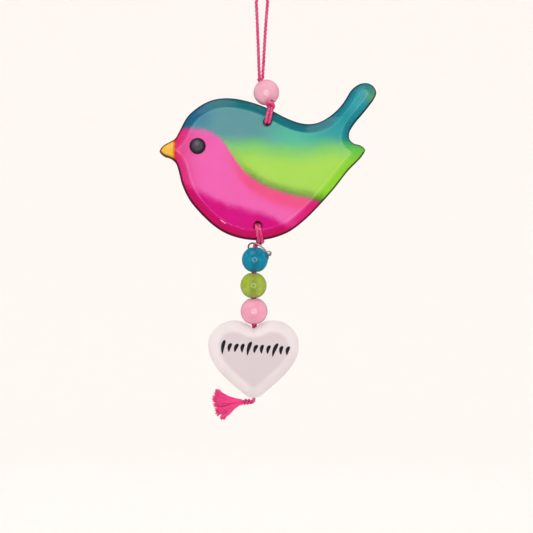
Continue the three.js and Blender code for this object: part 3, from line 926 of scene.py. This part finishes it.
def sprayed_glass(colours):
    """Cast glass with translucent colour sprayed on it.

    The eye gets clear depth and a sharp gloss from the glass, soft grainy borders from the spray, and
    painted shade and highlight: a deeper colour on the rounded margin, a nearly black edge, a paler crest.
    """
    material, add, shader = new_material(
        "sprayed_cast_glass", Transmission_Weight=0.74, Roughness=0.06, IOR=1.5
    )
    wide, high = AREA_X[1] - AREA_X[0], AREA_Z[1] - AREA_Z[0]
    place = add("TexCoord", output="Object")
    across, height = (
        add("MapRange", add("SeparateXYZ", place, output=way), low * MM, top * MM)
        for way, (low, top) in (("X", AREA_X), ("Z", AREA_Z))
    )
    DROPLET, CLOUD = 0.5, 7  # the real droplets are finer, and drawn so that they show
    grain, drift = (
        add("Math", add("TexNoise", place, 1 / (size * MM), 2.0), 0.5, operation="SUBTRACT")
        for size in (DROPLET, CLOUD)
    )

    def times(a, b):
        return add("Math", a, b, operation="MULTIPLY")

    def moved(value, other, amount):
        """A value moved by another that is scaled by an amount."""
        return add("Math", other, amount, value, operation="MULTIPLY_ADD")

    def step(value, start, end):
        """How far a value has gone from the start to the end, from 0 to 1, slowly at both."""
        return add("MapRange", value, start, end, interpolation_type="SMOOTHSTEP")

    def below(line, soft, grainy=3.6, drifting=2.5, risen=0.0):
        """How far a place is past a line of colour, from 0 to 1, with widths in millimetres."""
        level = add("FloatCurve", None, across, curve=in_area(line, risen))
        gap = add("Math", level, height, operation="SUBTRACT")
        gap = moved(moved(gap, grain, grainy / high), drift, drifting / high)
        return step(gap, -soft / high, soft / high)

    def past(start, end, noisy=5.0):
        """How far X has gone from one place to another, from 0 to 1, in millimetres."""
        low, top = (spot[0] for spot in in_area([(start, 0), (end, 0)]))
        return step(moved(across, grain, noisy / wide), low, top)

    def patch(x, z, radius, soft, grainy=5.0):
        """A soft round patch, 1 inside it."""
        away = add("VectorMath", place, (x * MM, 0, z * MM), operation="DISTANCE")
        away = moved(away, grain, grainy * MM)
        return step(away, (radius + soft) * MM, (radius - soft) * MM)

    def layered(colour, *layers):
        """A colour under others, each laid on with its share."""
        for upper, share in layers:
            colour = add("Mix", share, colour, upper, data_type="RGBA")
        return colour

    edge, bore, rim_shade_nearness = (
        add("Attribute", output="Fac", attribute_name=name) for name in ("edge", "bore", "rim")
    )
    middle = step(edge, 3.4, 4.2)  # 0 on the rounded band, and 1 inside it; the band's darker teal is painted shade
    back = layered(
        colours.teal_band_shade,
        (colours.teal, middle),
        (colours.mint, times(past(-4, 12, 8.0), middle)),
        (colours.teal_deep, past(12, 34, 6.0)),
        (colours.blue, patch(-27, -48, 6, 6)),
        (colours.green_deep, below(WING_LINE, 3.2)),
        (colours.green, below(WING_LINE, 4.4, risen=-4.6)),
        (colours.olive, times(below(BREAST_LINE, 2.5, 4.5, 1.0, risen=1.9), past(-14, -2))),
        (colours.tail_tip, patch(43.0, -40.5, 2.8, 3.2)),
    )
    under_wing = add("Math", 1.0, below(BREAST_LINE, 2.6, risen=-5.4), operation="SUBTRACT")
    coral = times(times(past(-16, -6), under_wing), add("MapRange", middle, 0, 1, 0.35, 0.9))
    band_right = times(past(4, 16), add("MapRange", middle, 0, 1, 0.55, 0.0))
    front = layered(
        colours.pink,
        (colours.crimson, past(-22, -33, 4.0)),
        (colours.coral, coral),
        (colours.magenta, below(BELLY_LINE, 1.9)),
        (colours.magenta, band_right),
    )
    body = layered(
        back,
        (front, below(BREAST_LINE, 1.2, 2.6, 0.8)),
        (colours.orange, past(-32.6, -33.9, 2.0)),
        (colours.beak, past(-33.5, -34.9, 2.0)),
    )

    span = PAINTED_BAND_SHADING[-1][0]
    share = add("Math", edge, 1 / span, operation="MULTIPLY", use_clamp=True)
    depth = add("FloatCurve", None, share, curve=[(away / span, deep) for away, deep in PAINTED_BAND_SHADING])
    depth = moved(depth, drift, 0.1)
    depth = moved(depth, bore, BORE_SHADE_DEPTH)
    depth = moved(depth, patch(41.0, -44.0, 4.0, 5.0, grainy=0.0), TIP_DEPTH)
    deep = add("Gamma", body, times(depth, DEEPEST))
    # Painted shade: the very edge is made nearly black, as glass looks where it is seen through the whole
    # slab
    rim = step(rim_shade_nearness, NO_RIM, FULL_RIM)
    shaded = add("Mix", rim, deep, colours.rim, data_type="RGBA", blend_type="MULTIPLY")
    # The fired surface is very slightly wavy
    WAVE = 5
    waves = add("TexNoise", place, 1 / (WAVE * MM), 1.0)
    connect(shader, Base_Color=shaded, Normal=add("Bump", 0.25, 0.15 * MM, None, waves))
    return material


def bead_glass(name, colour, milk, clear):
    """Pressed glass for a bead: glossy, with faint milky swirls where the melt was turned.

    Milk is how pale the swirls are, and clear how much light comes through.
    """
    material, add, shader = new_material(name, Transmission_Weight=clear, Roughness=0.14, IOR=1.5)
    SWIRL, DETAIL, TURNED = 7, 1.0, 0.6
    place = add("TexCoord", output="Object")
    swirls = add("TexNoise", place, 1 / (SWIRL * MM), DETAIL, None, None, TURNED)
    share = add("MapRange", swirls, 0.35, 0.75, 0, milk)
    connect(shader, Base_Color=add("Mix", share, colour, (1, 1, 1), data_type="RGBA"))
    return material


def frosted_glass(colours):
    """Clear glass blasted with sand: it lets blurred light through, and sparkles very finely. Its flat
    middle is painted greyer than its rounded band, as painted shade.
    """
    material, add, shader = new_material("sandblasted_glass", Transmission_Weight=0.2, IOR=1.5)
    place = add("TexCoord", output="Object")
    edge = add("Attribute", output="Fac", attribute_name="edge")
    GRIT, CLOUD = 0.35, 11  # real grit leaves pits of a tenth of this, too fine to show
    pits, clouds = (add("TexNoise", place, 1 / (size * MM), 2.0) for size in (GRIT, CLOUD))
    # Painted shade: the flat middle is greyer than the paler rounded band
    inner = add("MapRange", edge, 3.3, 5.0, interpolation_type="SMOOTHSTEP")
    base = add("Mix", inner, colours.frost, colours.frost_middle_shade, data_type="RGBA")
    cloudy = add("MapRange", clouds, 0.3, 0.7, 0, 0.35)
    base = add("Mix", cloudy, base, colours.frost_cloud, data_type="RGBA")
    rough = add("MapRange", pits, 0, 1, 0.34, 0.5)
    connect(shader, Base_Color=base, Roughness=rough, Normal=add("Bump", 0.35, 0.05 * MM, None, pits))
    return material


def enamel(colours):
    """A dome of fired enamel: nearly black, darkening to its foot as painted shade, with a soft edge to what
    it mirrors.
    """
    look = ("fired_enamel", colours.eye, colours.eye_blotch, 1.4, 2.0, (0.36, 0.46))
    material, add, shader = two_tones(*look)
    top = Vector((EYE_PLACE[0], BIRD_FRONT - EYE_HEIGHT, EYE_PLACE[1])) * MM
    away = add("VectorMath", add("TexCoord", output="Object"), top, operation="DISTANCE")
    # Painted shade: the dome darkens away from its top, to its darkest at its foot
    foot = add("MapRange", away, 1.3 * MM, 3.2 * MM, interpolation_type="SMOOTHSTEP")
    blotches = shader.inputs["Base Color"].links[0].from_socket
    connect(shader, Base_Color=add("Mix", foot, blotches, colours.eye_foot_shade, data_type="RGBA"))
    return material


def brushed_ink(colours):
    """Black ink laid on with a brush: dark, with a dull sheen where it pooled."""
    look = ("brushed_ink", colours.ink, colours.ink_pool, 0.6, 2.0, (0.35, 0.6))
    return two_tones(*look, Specular_IOR_Level=0.2)[0]


def silver_plate(colours):
    """Silver plated wire: bright, with hair-fine rubbing marks that soften what it mirrors."""
    look = ("silver_plate", colours.silver, colours.silver_rub, 0.5, 3.0, (0.4, 0.55))
    return two_tones(*look, Metallic=1.0)[0]


def satin_thread(name, colour, light, dark, plies):
    """Twisted satin thread: its colour on the backs of its plies, painted shade in the grooves, streaks of
    painted highlight, silky.
    """
    material, add, shader = new_material(name, Sheen_Weight=0.03, Sheen_Roughness=0.35)
    chart = add("UVMap", uv_map="thread")
    shade = add("Attribute", output="Fac", attribute_name="shade")
    # The map goes once round each thread, and along it in millimetres
    swing = add("Math", add("SeparateXYZ", chart), math.pi * plies, operation="MULTIPLY")
    back = add("Math", add("Math", swing, operation="SINE"), operation="ABSOLUTE")
    FIBRES = (7.0, 0.5, 1.0)  # round and along; the real ones are far finer, and drawn to show; their lighter streaks are partly the fibres' own tone and partly painted highlight
    fibres = add("TexNoise", add("VectorMath", chart, FIBRES, operation="MULTIPLY"), 1.0, 3.0)
    lit = add("Math", fibres, shade, operation="MULTIPLY")
    body = linear(dark)
    # Painted shade in the grooves between the plies, painted highlight where the fibres' streaks are bright,
    # and painted shade on threads that others hide
    for share, tint in (
        (add("MapRange", back, 0, 0.45), colour),
        (add("MapRange", lit, 0.2, 0.4, 0, 0.72), linear(light)),
        (add("MapRange", shade, 0, -1.0), linear(dark)),  # painted shade: a thread that others hide is dark
    ):
        body = add("Mix", share, body, tint, data_type="RGBA")
    rough = add("MapRange", fibres, 0, 1, 0.22, 0.42)
    connect(shader, Base_Color=body, Roughness=rough, Normal=add("Bump", 0.5, 0.05 * MM, None, fibres))
    return material


# Stage


def lit_group(name):
    """The pieces that one kind of lamp reaches."""
    return bpy.data.collections.get(name) or bpy.data.collections.new(name)


def area_light(name, at, power, wide, high, reaches=None):
    """An oval lamp that the camera doesn't see. One that reaches a group shows in its gloss alone."""
    lamp = bpy.data.lights.new(name, "AREA")
    lamp.shape = "ELLIPSE"
    lamp.size, lamp.size_y = wide, high
    lamp.energy = power
    holder = bpy.data.objects.new(name, lamp)
    holder.location = at
    holder.rotation_euler = (Vector(VIEW_CENTRE) - Vector(at)).to_track_quat("-Z", "Y").to_euler()
    holder.visible_camera = holder.visible_transmission = False
    if reaches:
        holder.visible_diffuse = False
        holder.light_linking.receiver_collection = lit_group(reaches)
    bpy.context.collection.objects.link(holder)


# Lamps: the name, the place in metres, the power, the size and the group that it reaches
LAMPS = (
    ("side_lamp_left", (-0.62, -0.5, -0.08), 0.15, 0.35, "bead"),
    ("side_lamp_right", (0.62, -0.5, -0.08), 0.15, 0.35, "bead"),
    ("low_left_lamp", (-0.228, -0.42, -0.362), 0.05, 0.035, "bird"),
    ("eye_lamp", (-0.06, -0.45, 0.2), 1.2, 0.3, "eye"),
    ("ring_lamp", (0.02, -0.45, 0.25), 3.6, 1.2, "ring"),
    ("cord_lamp", (-0.05, -0.45, 0.16), 2.0, 0.3, "cord"),
    ("overhead_soft", (-0.3, -0.5, 1.0), 2.0, 0.9, None),
)

# Lamps round the camera: the group, how far they lean away from it and turn round it in degrees,
# their power and size. Four long ones give each bead its small ring of light. Those on the left
# and below draw the thin line along the bird's crest.
LAMP_AWAY = 0.5
LONG, SHORT = 0.26, 0.09
SMALL = 0.13
AROUND = (
    ("bead", 16.5, (0, 180), 0.3, SHORT, LONG),
    ("bead", 16.5, (90, 270), 0.3, LONG, SHORT),
    ("milky_bead", 16.5, (0, 180), 0.6, SHORT, LONG),
    ("milky_bead", 16.5, (90, 270), 0.6, LONG, SHORT),
    ("bird", 22, (178, 206, 234, 262, 290, 322), 0.12, SMALL, SMALL),
)

# The backdrop, in millimetres: a round floor that sweeps up into a wall
FLOOR_Z = -260.0
FLOOR_RADIUS = 700
SWEEP = 900.0
WALL_TOP = 1100.0
QUARTER = 12  # steps of the sweep


class SUNCATCHER_OT_stage(Builder, bpy.types.Operator):
    """Add the camera of the photograph's view, the soft light and the pale backdrop"""

    bl_idname = "suncatcher.stage"
    bl_label = "Stage"

    def build(self, sizes, colours):
        lens = bpy.data.cameras.new("photograph_view")
        lens.lens = LENS
        lens.sensor_width = SENSOR
        lens.clip_start = 0.01
        lens.clip_end = 20
        camera = bpy.data.objects.new("photograph_view", lens)
        camera.location = Vector(VIEW_CENTRE) - Vector((0, VIEW_WIDTH * LENS / SENSOR, 0))
        camera.rotation_euler = (math.pi / 2, 0, 0)
        bpy.context.collection.objects.link(camera)
        scene = bpy.context.scene
        scene.camera = camera
        scene.view_settings.view_transform = "Standard"

        world = bpy.data.worlds.new("soft_daylight")
        world.use_nodes = True
        sky = next(n for n in world.node_tree.nodes if n.type == "BACKGROUND")
        sky.inputs["Color"].default_value = (*linear("#FFFDFB"), 1)
        # The room is dimmer in the gloss of the glass than it is as light, as in a photograph's studio
        mirrored = add_node(world.node_tree, "LightPath", output="Is Glossy Ray")
        strength = add_node(world.node_tree, "MapRange", mirrored, 0, 1, SKY_STRENGTH, SKY_GLOSS)
        world.node_tree.links.new(strength, sky.inputs["Strength"])
        scene.world = world

        profile = [(0, FLOOR_Z), (300, FLOOR_Z), (FLOOR_RADIUS, FLOOR_Z)]
        for turn in np.linspace(0, math.pi / 2, QUARTER + 1):
            risen = SWEEP * (1 - math.cos(turn))
            profile.append((FLOOR_RADIUS + SWEEP * math.sin(turn), FLOOR_Z + risen))
        profile.append((FLOOR_RADIUS + SWEEP, WALL_TOP))
        backdrop = turned_piece("pale_backdrop", profile, (0, 0, 0), steps=96)
        with editing(backdrop):
            bpy.ops.mesh.flip_normals()
        smooth(backdrop)
        paper, add, shader = new_material("matt_paper", Roughness=0.95, Specular_IOR_Level=0.1)
        PULP = 25
        pulp = add("TexNoise", add("TexCoord", output="Object"), 1 / (PULP * MM), 3.0)
        tone = add("Mix", pulp, linear("#F8F4F2"), linear("#F6F2F0"), data_type="RGBA")
        connect(shader, Base_Color=tone)
        backdrop.data.materials.append(paper)
        backdrop.visible_glossy = False

        for name, at, power, size, reaches in LAMPS:
            area_light(name, at, power, size, size, reaches)
        for group, lean, turns, power, wide, high in AROUND:
            ahead, side = (LAMP_AWAY * way(math.radians(lean)) for way in (math.cos, math.sin))
            for turn in turns:
                right, up = (side * way(math.radians(turn)) for way in (math.cos, math.sin))
                at = (VIEW_CENTRE[0] + right, -ahead, VIEW_CENTRE[2] + up)
                area_light(f"{group}_lamp_{turn}", at, power, wide, high, group)
        deselect()


# Operators, one for each piece or group of like pieces


class SUNCATCHER_OT_cords(Builder, bpy.types.Operator):
    """Lay the twisted satin cords: the hanging loop, its knot, both hitches and the string"""

    bl_idname = "suncatcher.cords"
    bl_label = "Cords and knots"

    def build(self, sizes, colours):
        radius, lay = sizes.cord_radius / MM, sizes.lay_length / MM
        satin = satin_thread("twisted_satin_cord", colours.cord, CORD_HIGHLIGHT, CORD_SHADE, plies=3)
        STEP = 0.13
        cord = {"radius": radius, "plies": 3, "sides": 24, "lay": lay}
        core = {"radius": CORE_RADIUS, "plies": 2, "sides": 24, "lay": 2 * lay}
        tied = {"radius": KNOT_THREAD, "plies": 3, "sides": 18, "lay": 0.7 * lay, "closed": True}

        loop = smooth_line(np.array(LOOP_ROUTE) / MM, STEP)
        hanging = ThreadMesh()
        hanging.add(loop, **cord)
        piece = finish_piece(hanging.piece("hanging_cord"), satin, "hanging_loop", slot="cord_thread")

        knot = ThreadMesh()
        WIDE, HIGH, FLAT = 1.45, 0.8, (1, 0.5, 1)
        knot.add(knot_line((0, 0, 0), WIDE, HIGH, turn=0.4) * FLAT + TOP_KNOT, **tied)
        for end in (np.array(LOOP_ROUTE[0]) / MM, np.array(LOOP_ROUTE[-1]) / MM):
            tail = [end + (0, 0, 0.25), end - (0, 0, 0.4), 0.5 * (end + TOP_KNOT) - (0, 0, 0.5)]
            knot.add(smooth_line(tail, STEP), **{**cord, "radius": 0.94 * radius, "sides": 18})
        finish_piece(knot.piece("top_knot_thread"), satin, "top_knot", slot="cord_thread")

        hitch = ThreadMesh()
        hitch.add(smooth_line(top_hitch_line(), STEP), **cord)
        inside = [TOP_BEAD + BORE_WAY * share * TOP_BEAD_RADIUS for share in (-0.9, -0.4, 0.4, 0.98)]
        hitch.add(smooth_line(inside, STEP), **core)
        finish_piece(hitch.piece("top_hitch_cord"), satin, "top_cord", slot="cord_thread", lit="cord")

        string = ThreadMesh()
        string.add(smooth_line(lower_hitch_line(), STEP), **cord)
        string.add(smooth_line(string_line(), STEP), **core)
        centres = [np.array(centre) for centre, _ in STRING_BEADS.values()]
        places = [(above + below) / 2 for above, below in zip(centres, centres[1:])]
        places.append(centres[-1] - (0, 0, LAST_KNOT_DROP))
        for i, place in enumerate(places):
            string.add(knot_line(place, KNOT_RADIUS, KNOT_HALF_HEIGHT, turn=0.9 * i), **tied)
        finish_piece(string.piece("lower_string"), satin, "lower_cord", slot="cord_thread", lit="cord")


class SUNCATCHER_OT_bird(Builder, bpy.types.Operator):
    """Cast the bird's glass, with its rounded margin and its two drilled holes"""

    bl_idname = "suncatcher.bird"
    bl_label = "Glass bird"

    def build(self, sizes, colours):
        width, drop = sizes.band_width / MM, sizes.band_drop / MM
        hole, chamfer = sizes.hole_radius / MM, sizes.hole_chamfer / MM
        WAIST = 0.3  # how much narrower a hole is half-way through
        SWELL = 0.035  # how far the front swells and sinks
        NARROWER = 0.24  # the share by which the band is narrower on the tail

        def narrowing(x, z):
            """The band's width at a place as a share of its width elsewhere."""
            on_tail = np.clip((x - 27) / 5, 0, 1) * np.clip((z + 60) / 4, 0, 1)
            return 1 - NARROWER * on_tail

        def front(edge, x, z):
            waves = np.sin(x * 0.31 + 0.4) * np.sin(z * 0.27 + 1.1) * np.clip(edge / 4, 0, 1)
            return BIRD_FRONT + band_drop(edge, width * narrowing(x, z), drop) + SWELL * (1 + waves)

        def back(edge, x, z):
            left = 1 - np.clip(edge / BACK_ROUND, 0, 1)
            return BIRD_BACK - BACK_ROUND * (1 - np.sqrt(1 - left**2))

        bird = glass_slab(
            "bird_glass",
            counter_clockwise(smooth_line(rim_of("glass_bird", BIRD_RIM), 0.5, closed=True)),
            front,
            back,
            insets=BIRD_INSETS,
            spacing=1.2,
            wall=(-0.3, 0.2, 0.8, 1.4, 1.95),
            holes=(UPPER_HOLE, LOWER_HOLE),
            profile=(
                (hole + chamfer, 0),
                (hole, BIRD_FRONT + 2 * chamfer),
                (hole - WAIST, 0),
                (hole, BIRD_BACK - chamfer),
                (hole + chamfer, 0),
            ),
            stretch=lambda x, z: 1 / narrowing(x, z),
        )
        outward(bird)
        smooth(bird, 50)
        finish_piece(bird, sprayed_glass(colours), "glass_bird", slot="bird_glass", lit="bird")


class SUNCATCHER_OT_eye(Builder, bpy.types.Operator):
    """Set the bird's eye, a low dome of enamel"""

    bl_idname = "suncatcher.eye"
    bl_label = "Eye"

    def build(self, sizes, colours):
        dome = (EYE_RADIUS**2 + EYE_HEIGHT**2) / (2 * EYE_HEIGHT)  # the radius of its sphere
        widest = 0.985 * math.asin(EYE_RADIUS / dome)
        profile = [(0, 0), (EYE_RADIUS - 0.25, 0), (EYE_RADIUS - 0.05, 0.06), (EYE_RADIUS, 0.2)]
        for turn in np.linspace(widest, 0, 15)[1:]:
            profile.append((dome * math.sin(turn), dome * math.cos(turn) - dome + EYE_HEIGHT))
        centre = (EYE_PLACE[0], EYE_BASE, EYE_PLACE[1])
        eye = turned_piece("eye_dome", profile, centre, axis=(0, -1, 0))
        smooth(eye, 60)
        finish_piece(eye, enamel(colours), "bird_eye", slot="eye_enamel", lit="eye")


def bead_profile(radius, mouth):
    """A closed profile of a bead with a bore and softened mouths."""
    top = math.sqrt(radius**2 - mouth**2)
    widest = math.atan2(top, mouth)
    turns = np.linspace(-widest, widest, 41)
    outside = [(radius * math.cos(turn), radius * math.sin(turn)) for turn in turns]
    LIP = ((0.1, 0.08), (0.22, 0.3), (0.3, 0.7))  # each inwards and down from the mouth
    upper = [(mouth - inwards, top - down) for inwards, down in LIP]
    bore = [(BEAD_BORE, height) for height in np.linspace(top - 1.1, 1.1 - top, 7)]
    lower = [(across, -height) for across, height in reversed(upper)]
    return [*outside, *upper, *bore, *lower, outside[0]]


class SUNCATCHER_OT_beads(Builder, bpy.types.Operator):
    """Turn the four glass beads"""

    bl_idname = "suncatcher.beads"
    bl_label = "Beads"

    def build(self, sizes, colours):
        places = {"rose": (TOP_BEAD, TOP_BEAD_RADIUS), **STRING_BEADS}
        # Each bead's colour name, how pale its swirls are, how clear it is, its node, slot and lamps
        for tint, milk, clear, node, slot, lit in (
            ("rose", 0.2, 0.3, "top_bead", "pink_bead_glass", "milky_bead"),
            ("teal", 0.0, 0.5, "teal_bead", "teal_bead_glass", "bead"),
            ("green", 0.12, 0.5, "green_bead", "green_bead_glass", "bead"),
            ("pink", 0.12, 0.22, "pink_bead", "pink_bead_glass", "milky_bead"),
        ):
            centre, radius = places[tint]
            mouth, axis = (TOP_MOUTH, TOP_BORE_AXIS) if tint == "rose" else (BEAD_MOUTH, UPRIGHT)
            bead = turned_piece(f"{tint}_glass_bead", bead_profile(radius, mouth), centre, axis)
            smooth(bead, 55)
            glass = bead_glass(f"pressed_{tint}_glass", getattr(colours, f"bead_{tint}"), milk, clear)
            finish_piece(bead, glass, node, slot=slot, lit=lit)


class SUNCATCHER_OT_ring(Builder, bpy.types.Operator):
    """Bend the silver ring and set its ball"""

    bl_idname = "suncatcher.ring"
    bl_label = "Silver ring"

    def build(self, sizes, colours):
        long = Vector((math.cos(RING_ROLL), 0, math.sin(RING_ROLL)))
        short = Vector((-long.z, 0, long.x)) * math.cos(RING_LEAN) + Vector((0, -math.sin(RING_LEAN), 0))
        turn = Matrix((long, short, long.cross(short))).transposed().to_4x4()
        deselect()
        bpy.ops.mesh.primitive_torus_add(
            major_radius=RING_RADIUS * MM, minor_radius=RING_WIRE * MM, major_segments=128, minor_segments=20
        )
        ring = bpy.context.object
        ring.name = ring.data.name = "ring_and_ball"
        reach = (RING_RADIUS + BALL_OUT) * MM
        deselect()
        bpy.ops.mesh.primitive_uv_sphere_add(
            segments=48,
            ring_count=32,
            radius=BALL_RADIUS * MM,
            location=(reach * math.cos(BALL_ANGLE), reach * math.sin(BALL_ANGLE), 0),
        )
        combine(ring, bpy.context.object, "UNION")
        ring.data.transform(Matrix.Translation(Vector(RING_CENTRE) * MM) @ turn)
        outward(ring)
        smooth(ring, 50)
        finish_piece(ring, silver_plate(colours), "silver_ring", slot="silver_wire", lit="ring")


def heart_outline():
    """The heart's outline, from the half that the model has, as X and Z in millimetres."""
    half = smooth_line([(0, HEART_NOTCH), *HEART_HALF, (0, HEART_TIP)], 0.45)
    left = (half * (-1, 1))[-2:0:-1]
    return counter_clockwise(np.vstack([half, left]) + (HEART_AXIS, 0))


def heart_depth(sizes, edge):
    """How far the heart's front is from its middle at a distance from the edge."""
    return HEART_FACE - band_drop(edge, sizes.heart_band / MM, sizes.heart_drop / MM, HEART_CREASE)


class SUNCATCHER_OT_heart(Builder, bpy.types.Operator):
    """Cast the frosted heart and drill its bore"""

    bl_idname = "suncatcher.heart"
    bl_label = "Frosted heart"

    def build(self, sizes, colours):
        heart = glass_slab(
            "heart_frosted",
            heart_outline(),
            lambda edge, x, z: -heart_depth(sizes, edge),
            lambda edge, x, z: heart_depth(sizes, edge),
            insets=HEART_INSETS,
            spacing=0.9,
            wall=(-0.9, -0.3, 0.3, 0.9),
        )
        outward(heart)
        reamer = turned_piece(
            "reamer",
            [
                (0, HEART_TIP - 3),
                (HEART_MOUTH + 0.5, HEART_TIP - 3),
                (HEART_MOUTH, HEART_TIP + 0.3),
                (HEART_BORE, HEART_TIP + 1.2),
                (HEART_BORE, HEART_NOTCH - 0.8),
                (HEART_MOUTH, HEART_NOTCH),
                (HEART_MOUTH + 0.5, HEART_NOTCH + 5),
                (0, HEART_NOTCH + 5),
            ],
            (HEART_AXIS, 0, 0),
            steps=36,
        )
        combine(heart, reamer, "DIFFERENCE")
        outward(heart)
        smooth(heart, 50)
        finish_piece(heart, frosted_glass(colours), "glass_heart", slot="frosted_glass")


class SUNCATCHER_OT_strokes(Builder, bpy.types.Operator):
    """Brush a row of plain strokes on the heart's front"""

    bl_idname = "suncatcher.strokes"
    bl_label = "Brush strokes"

    def build(self, sizes, colours):
        # One dab, 1 mm long, shaped like a comma from a ball and then copied
        deselect()
        bpy.ops.mesh.primitive_uv_sphere_add(segments=20, ring_count=14, radius=0.5)
        dab = bpy.context.object
        for vertex in dab.data.vertices:
            x, y, z = vertex.co
            full = 0.6 + 0.7 * max(z + 0.5, 0) ** 1.3
            vertex.co = (x * full + 0.9 * z * z, y, z)
        outline = heart_outline()
        strokes = []
        for x, z, tall, wide, lean in STROKES:
            copy = dab.copy()
            copy.data = dab.data.copy()
            bpy.context.collection.objects.link(copy)
            edge = distance_to(np.array([(x, z)]), outline)[0]
            copy.data.transform(
                Matrix.Translation(Vector((x, -heart_depth(sizes, edge), z)) * MM)
                @ Matrix.Rotation(math.radians(lean), 4, "Y")
                @ Matrix.Diagonal((wide * MM, STROKE_THICKNESS * MM, tall * MM, 1))
            )
            strokes.append(copy)
        bpy.data.objects.remove(dab)
        choose(strokes[0])
        for stroke in strokes:
            stroke.select_set(True)
        bpy.ops.object.join()
        row = bpy.context.object
        row.name = row.data.name = "heart_strokes"
        smooth(row)
        finish_piece(row, brushed_ink(colours))


class SUNCATCHER_OT_tassel(Builder, bpy.types.Operator):
    """Bind the tassel's neck and lay its loose threads"""

    bl_idname = "suncatcher.tassel"
    bl_label = "Tassel"

    def build(self, sizes, colours):
        start, end = np.array(NECK_START), np.array(NECK_END)
        length = np.linalg.norm(end - start)
        ahead = (end - start) / length
        side = np.array((0.0, 1.0, 0.0))
        up = np.cross(ahead, side)

        wound = satin_thread("wound_satin_thread", colours.tassel, WOUND_HIGHLIGHT, WOUND_SHADE, plies=2)
        binding = ThreadMesh()
        middle = smooth_line([start, (start + end) / 2, end], 0.15)
        # The core between the windings is drawn in painted shade, as a thread that others hide
        binding.add(middle, NECK_CORE, sides=20, shade=-1.0, taper=1.2)
        wrapped = length - 2 * NECK_THREAD
        angle = np.linspace(0, 2 * math.pi * wrapped / NECK_PITCH, 420)
        travel = NECK_THREAD + wrapped * angle / angle[-1]
        around = np.cos(angle)[:, None] * up + np.sin(angle)[:, None] * side
        swell = 0.35 + 0.65 * np.sin(np.clip(travel / length / 0.6, 0, 1) * math.pi / 2)
        slant = 0.55 * np.cos(angle)  # the windings lie aslant
        line = start + (travel + slant)[:, None] * ahead + around * (NECK_WINDING * swell)[:, None]
        binding.add(line, NECK_THREAD, plies=3, sides=15, lay=1.6, taper=0.3)
        finish_piece(binding.piece("tassel_binding"), wound, "tassel_neck", slot="tassel_thread")

        # Each loose thread starts in its own place in the neck and leans to the nearest clump
        loose = satin_thread("loose_satin_thread", colours.tassel, LOOSE_HIGHLIGHT, LOOSE_SHADE, plies=1)
        chance = np.random.default_rng(12)
        skirt = ThreadMesh()
        wide = chance.uniform(-0.98, 0.98, CLUMPS)
        deep = chance.uniform(-1, 1, CLUMPS) * np.sqrt(1 - wide**2)
        centres = np.stack([wide, deep], axis=1)
        reach = chance.uniform(0.86, 1.05, CLUMPS)
        along = np.linspace(0, 1, 12)
        gather = GATHER * np.clip(along * 1.4, 0, 1)[:, None]
        neck = NECK_CORE * (1 - along)
        for _ in range(sizes.tassel_count):
            turn, far = chance.uniform(0, 2 * math.pi), chance.uniform(-1, 1)
            own = np.array((far, chance.uniform(-1, 1) * math.sqrt(1 - far**2)))
            nearest = np.argmin(np.linalg.norm(centres - own, axis=1))
            wobble = np.sin(along * chance.uniform(3, 8) + turn)[:, None] * chance.normal(0, 0.06, 2)
            t, u = (own * (1 - gather) + centres[nearest] * gather + wobble).T
            way = SKIRT_AXIS + SKIRT_HALF_ANGLE * (0.6 + 0.4 * along) * t
            total = SKIRT_LENGTH * (1 - SKIRT_SHORTER * max(0, far))
            total *= reach[nearest] * chance.uniform(0.93, 1.02)
            line = [
                NECK_END[0] + 0.25 + total * along * np.cos(way),
                (neck + SKIRT_HALF_DEPTH * along) * u,
                NECK_END[2] + total * along * np.sin(way) - neck * t,
            ]
            thread = smooth_line(np.stack(line, axis=1), 0.55)
            skirt.add(thread, sizes.tassel_thread / MM, sides=5, shade=chance.uniform(0.1, 1.5))
        finish_piece(skirt.piece("tassel_threads"), loose, "tassel_skirt", slot="tassel_thread")


class SUNCATCHER_PT_pieces(bpy.types.Panel):
    """The pieces of the suncatcher, in the order in which they are made"""

    bl_idname = "SUNCATCHER_PT_pieces"
    bl_label = "Suncatcher"
    bl_space_type = "VIEW_3D"
    bl_region_type = "UI"
    bl_category = "Suncatcher"

    def draw(self, context):
        for operator in OPERATORS:
            self.layout.operator(operator.bl_idname)
        for group in (context.scene.suncatcher_sizes, context.scene.suncatcher_colours):
            box = self.layout.box()
            for name in group.bl_rna.properties.keys():
                if name not in ("rna_type", "name"):
                    box.prop(group, name)


OPERATORS = (
    SUNCATCHER_OT_stage,
    SUNCATCHER_OT_cords,
    SUNCATCHER_OT_bird,
    SUNCATCHER_OT_eye,
    SUNCATCHER_OT_beads,
    SUNCATCHER_OT_ring,
    SUNCATCHER_OT_heart,
    SUNCATCHER_OT_strokes,
    SUNCATCHER_OT_tassel,
)
CLASSES = (SuncatcherSizes, SuncatcherColours, *OPERATORS, SUNCATCHER_PT_pieces)


def register():
    for kind in CLASSES:
        bpy.utils.register_class(kind)
    bpy.types.Scene.suncatcher_sizes = PointerProperty(type=SuncatcherSizes)
    bpy.types.Scene.suncatcher_colours = PointerProperty(type=SuncatcherColours)


def unregister():
    del bpy.types.Scene.suncatcher_colours
    del bpy.types.Scene.suncatcher_sizes
    for kind in reversed(CLASSES):
        bpy.utils.unregister_class(kind)


def main():
    """Builds everything."""
    register()
    for operator in OPERATORS:
        group, name = operator.bl_idname.split(".")
        made = getattr(getattr(bpy.ops, group), name)()
        if made != {"FINISHED"}:
            raise RuntimeError(f"{operator.bl_label} wasn't finished")


if __name__ == "__main__":
    main()
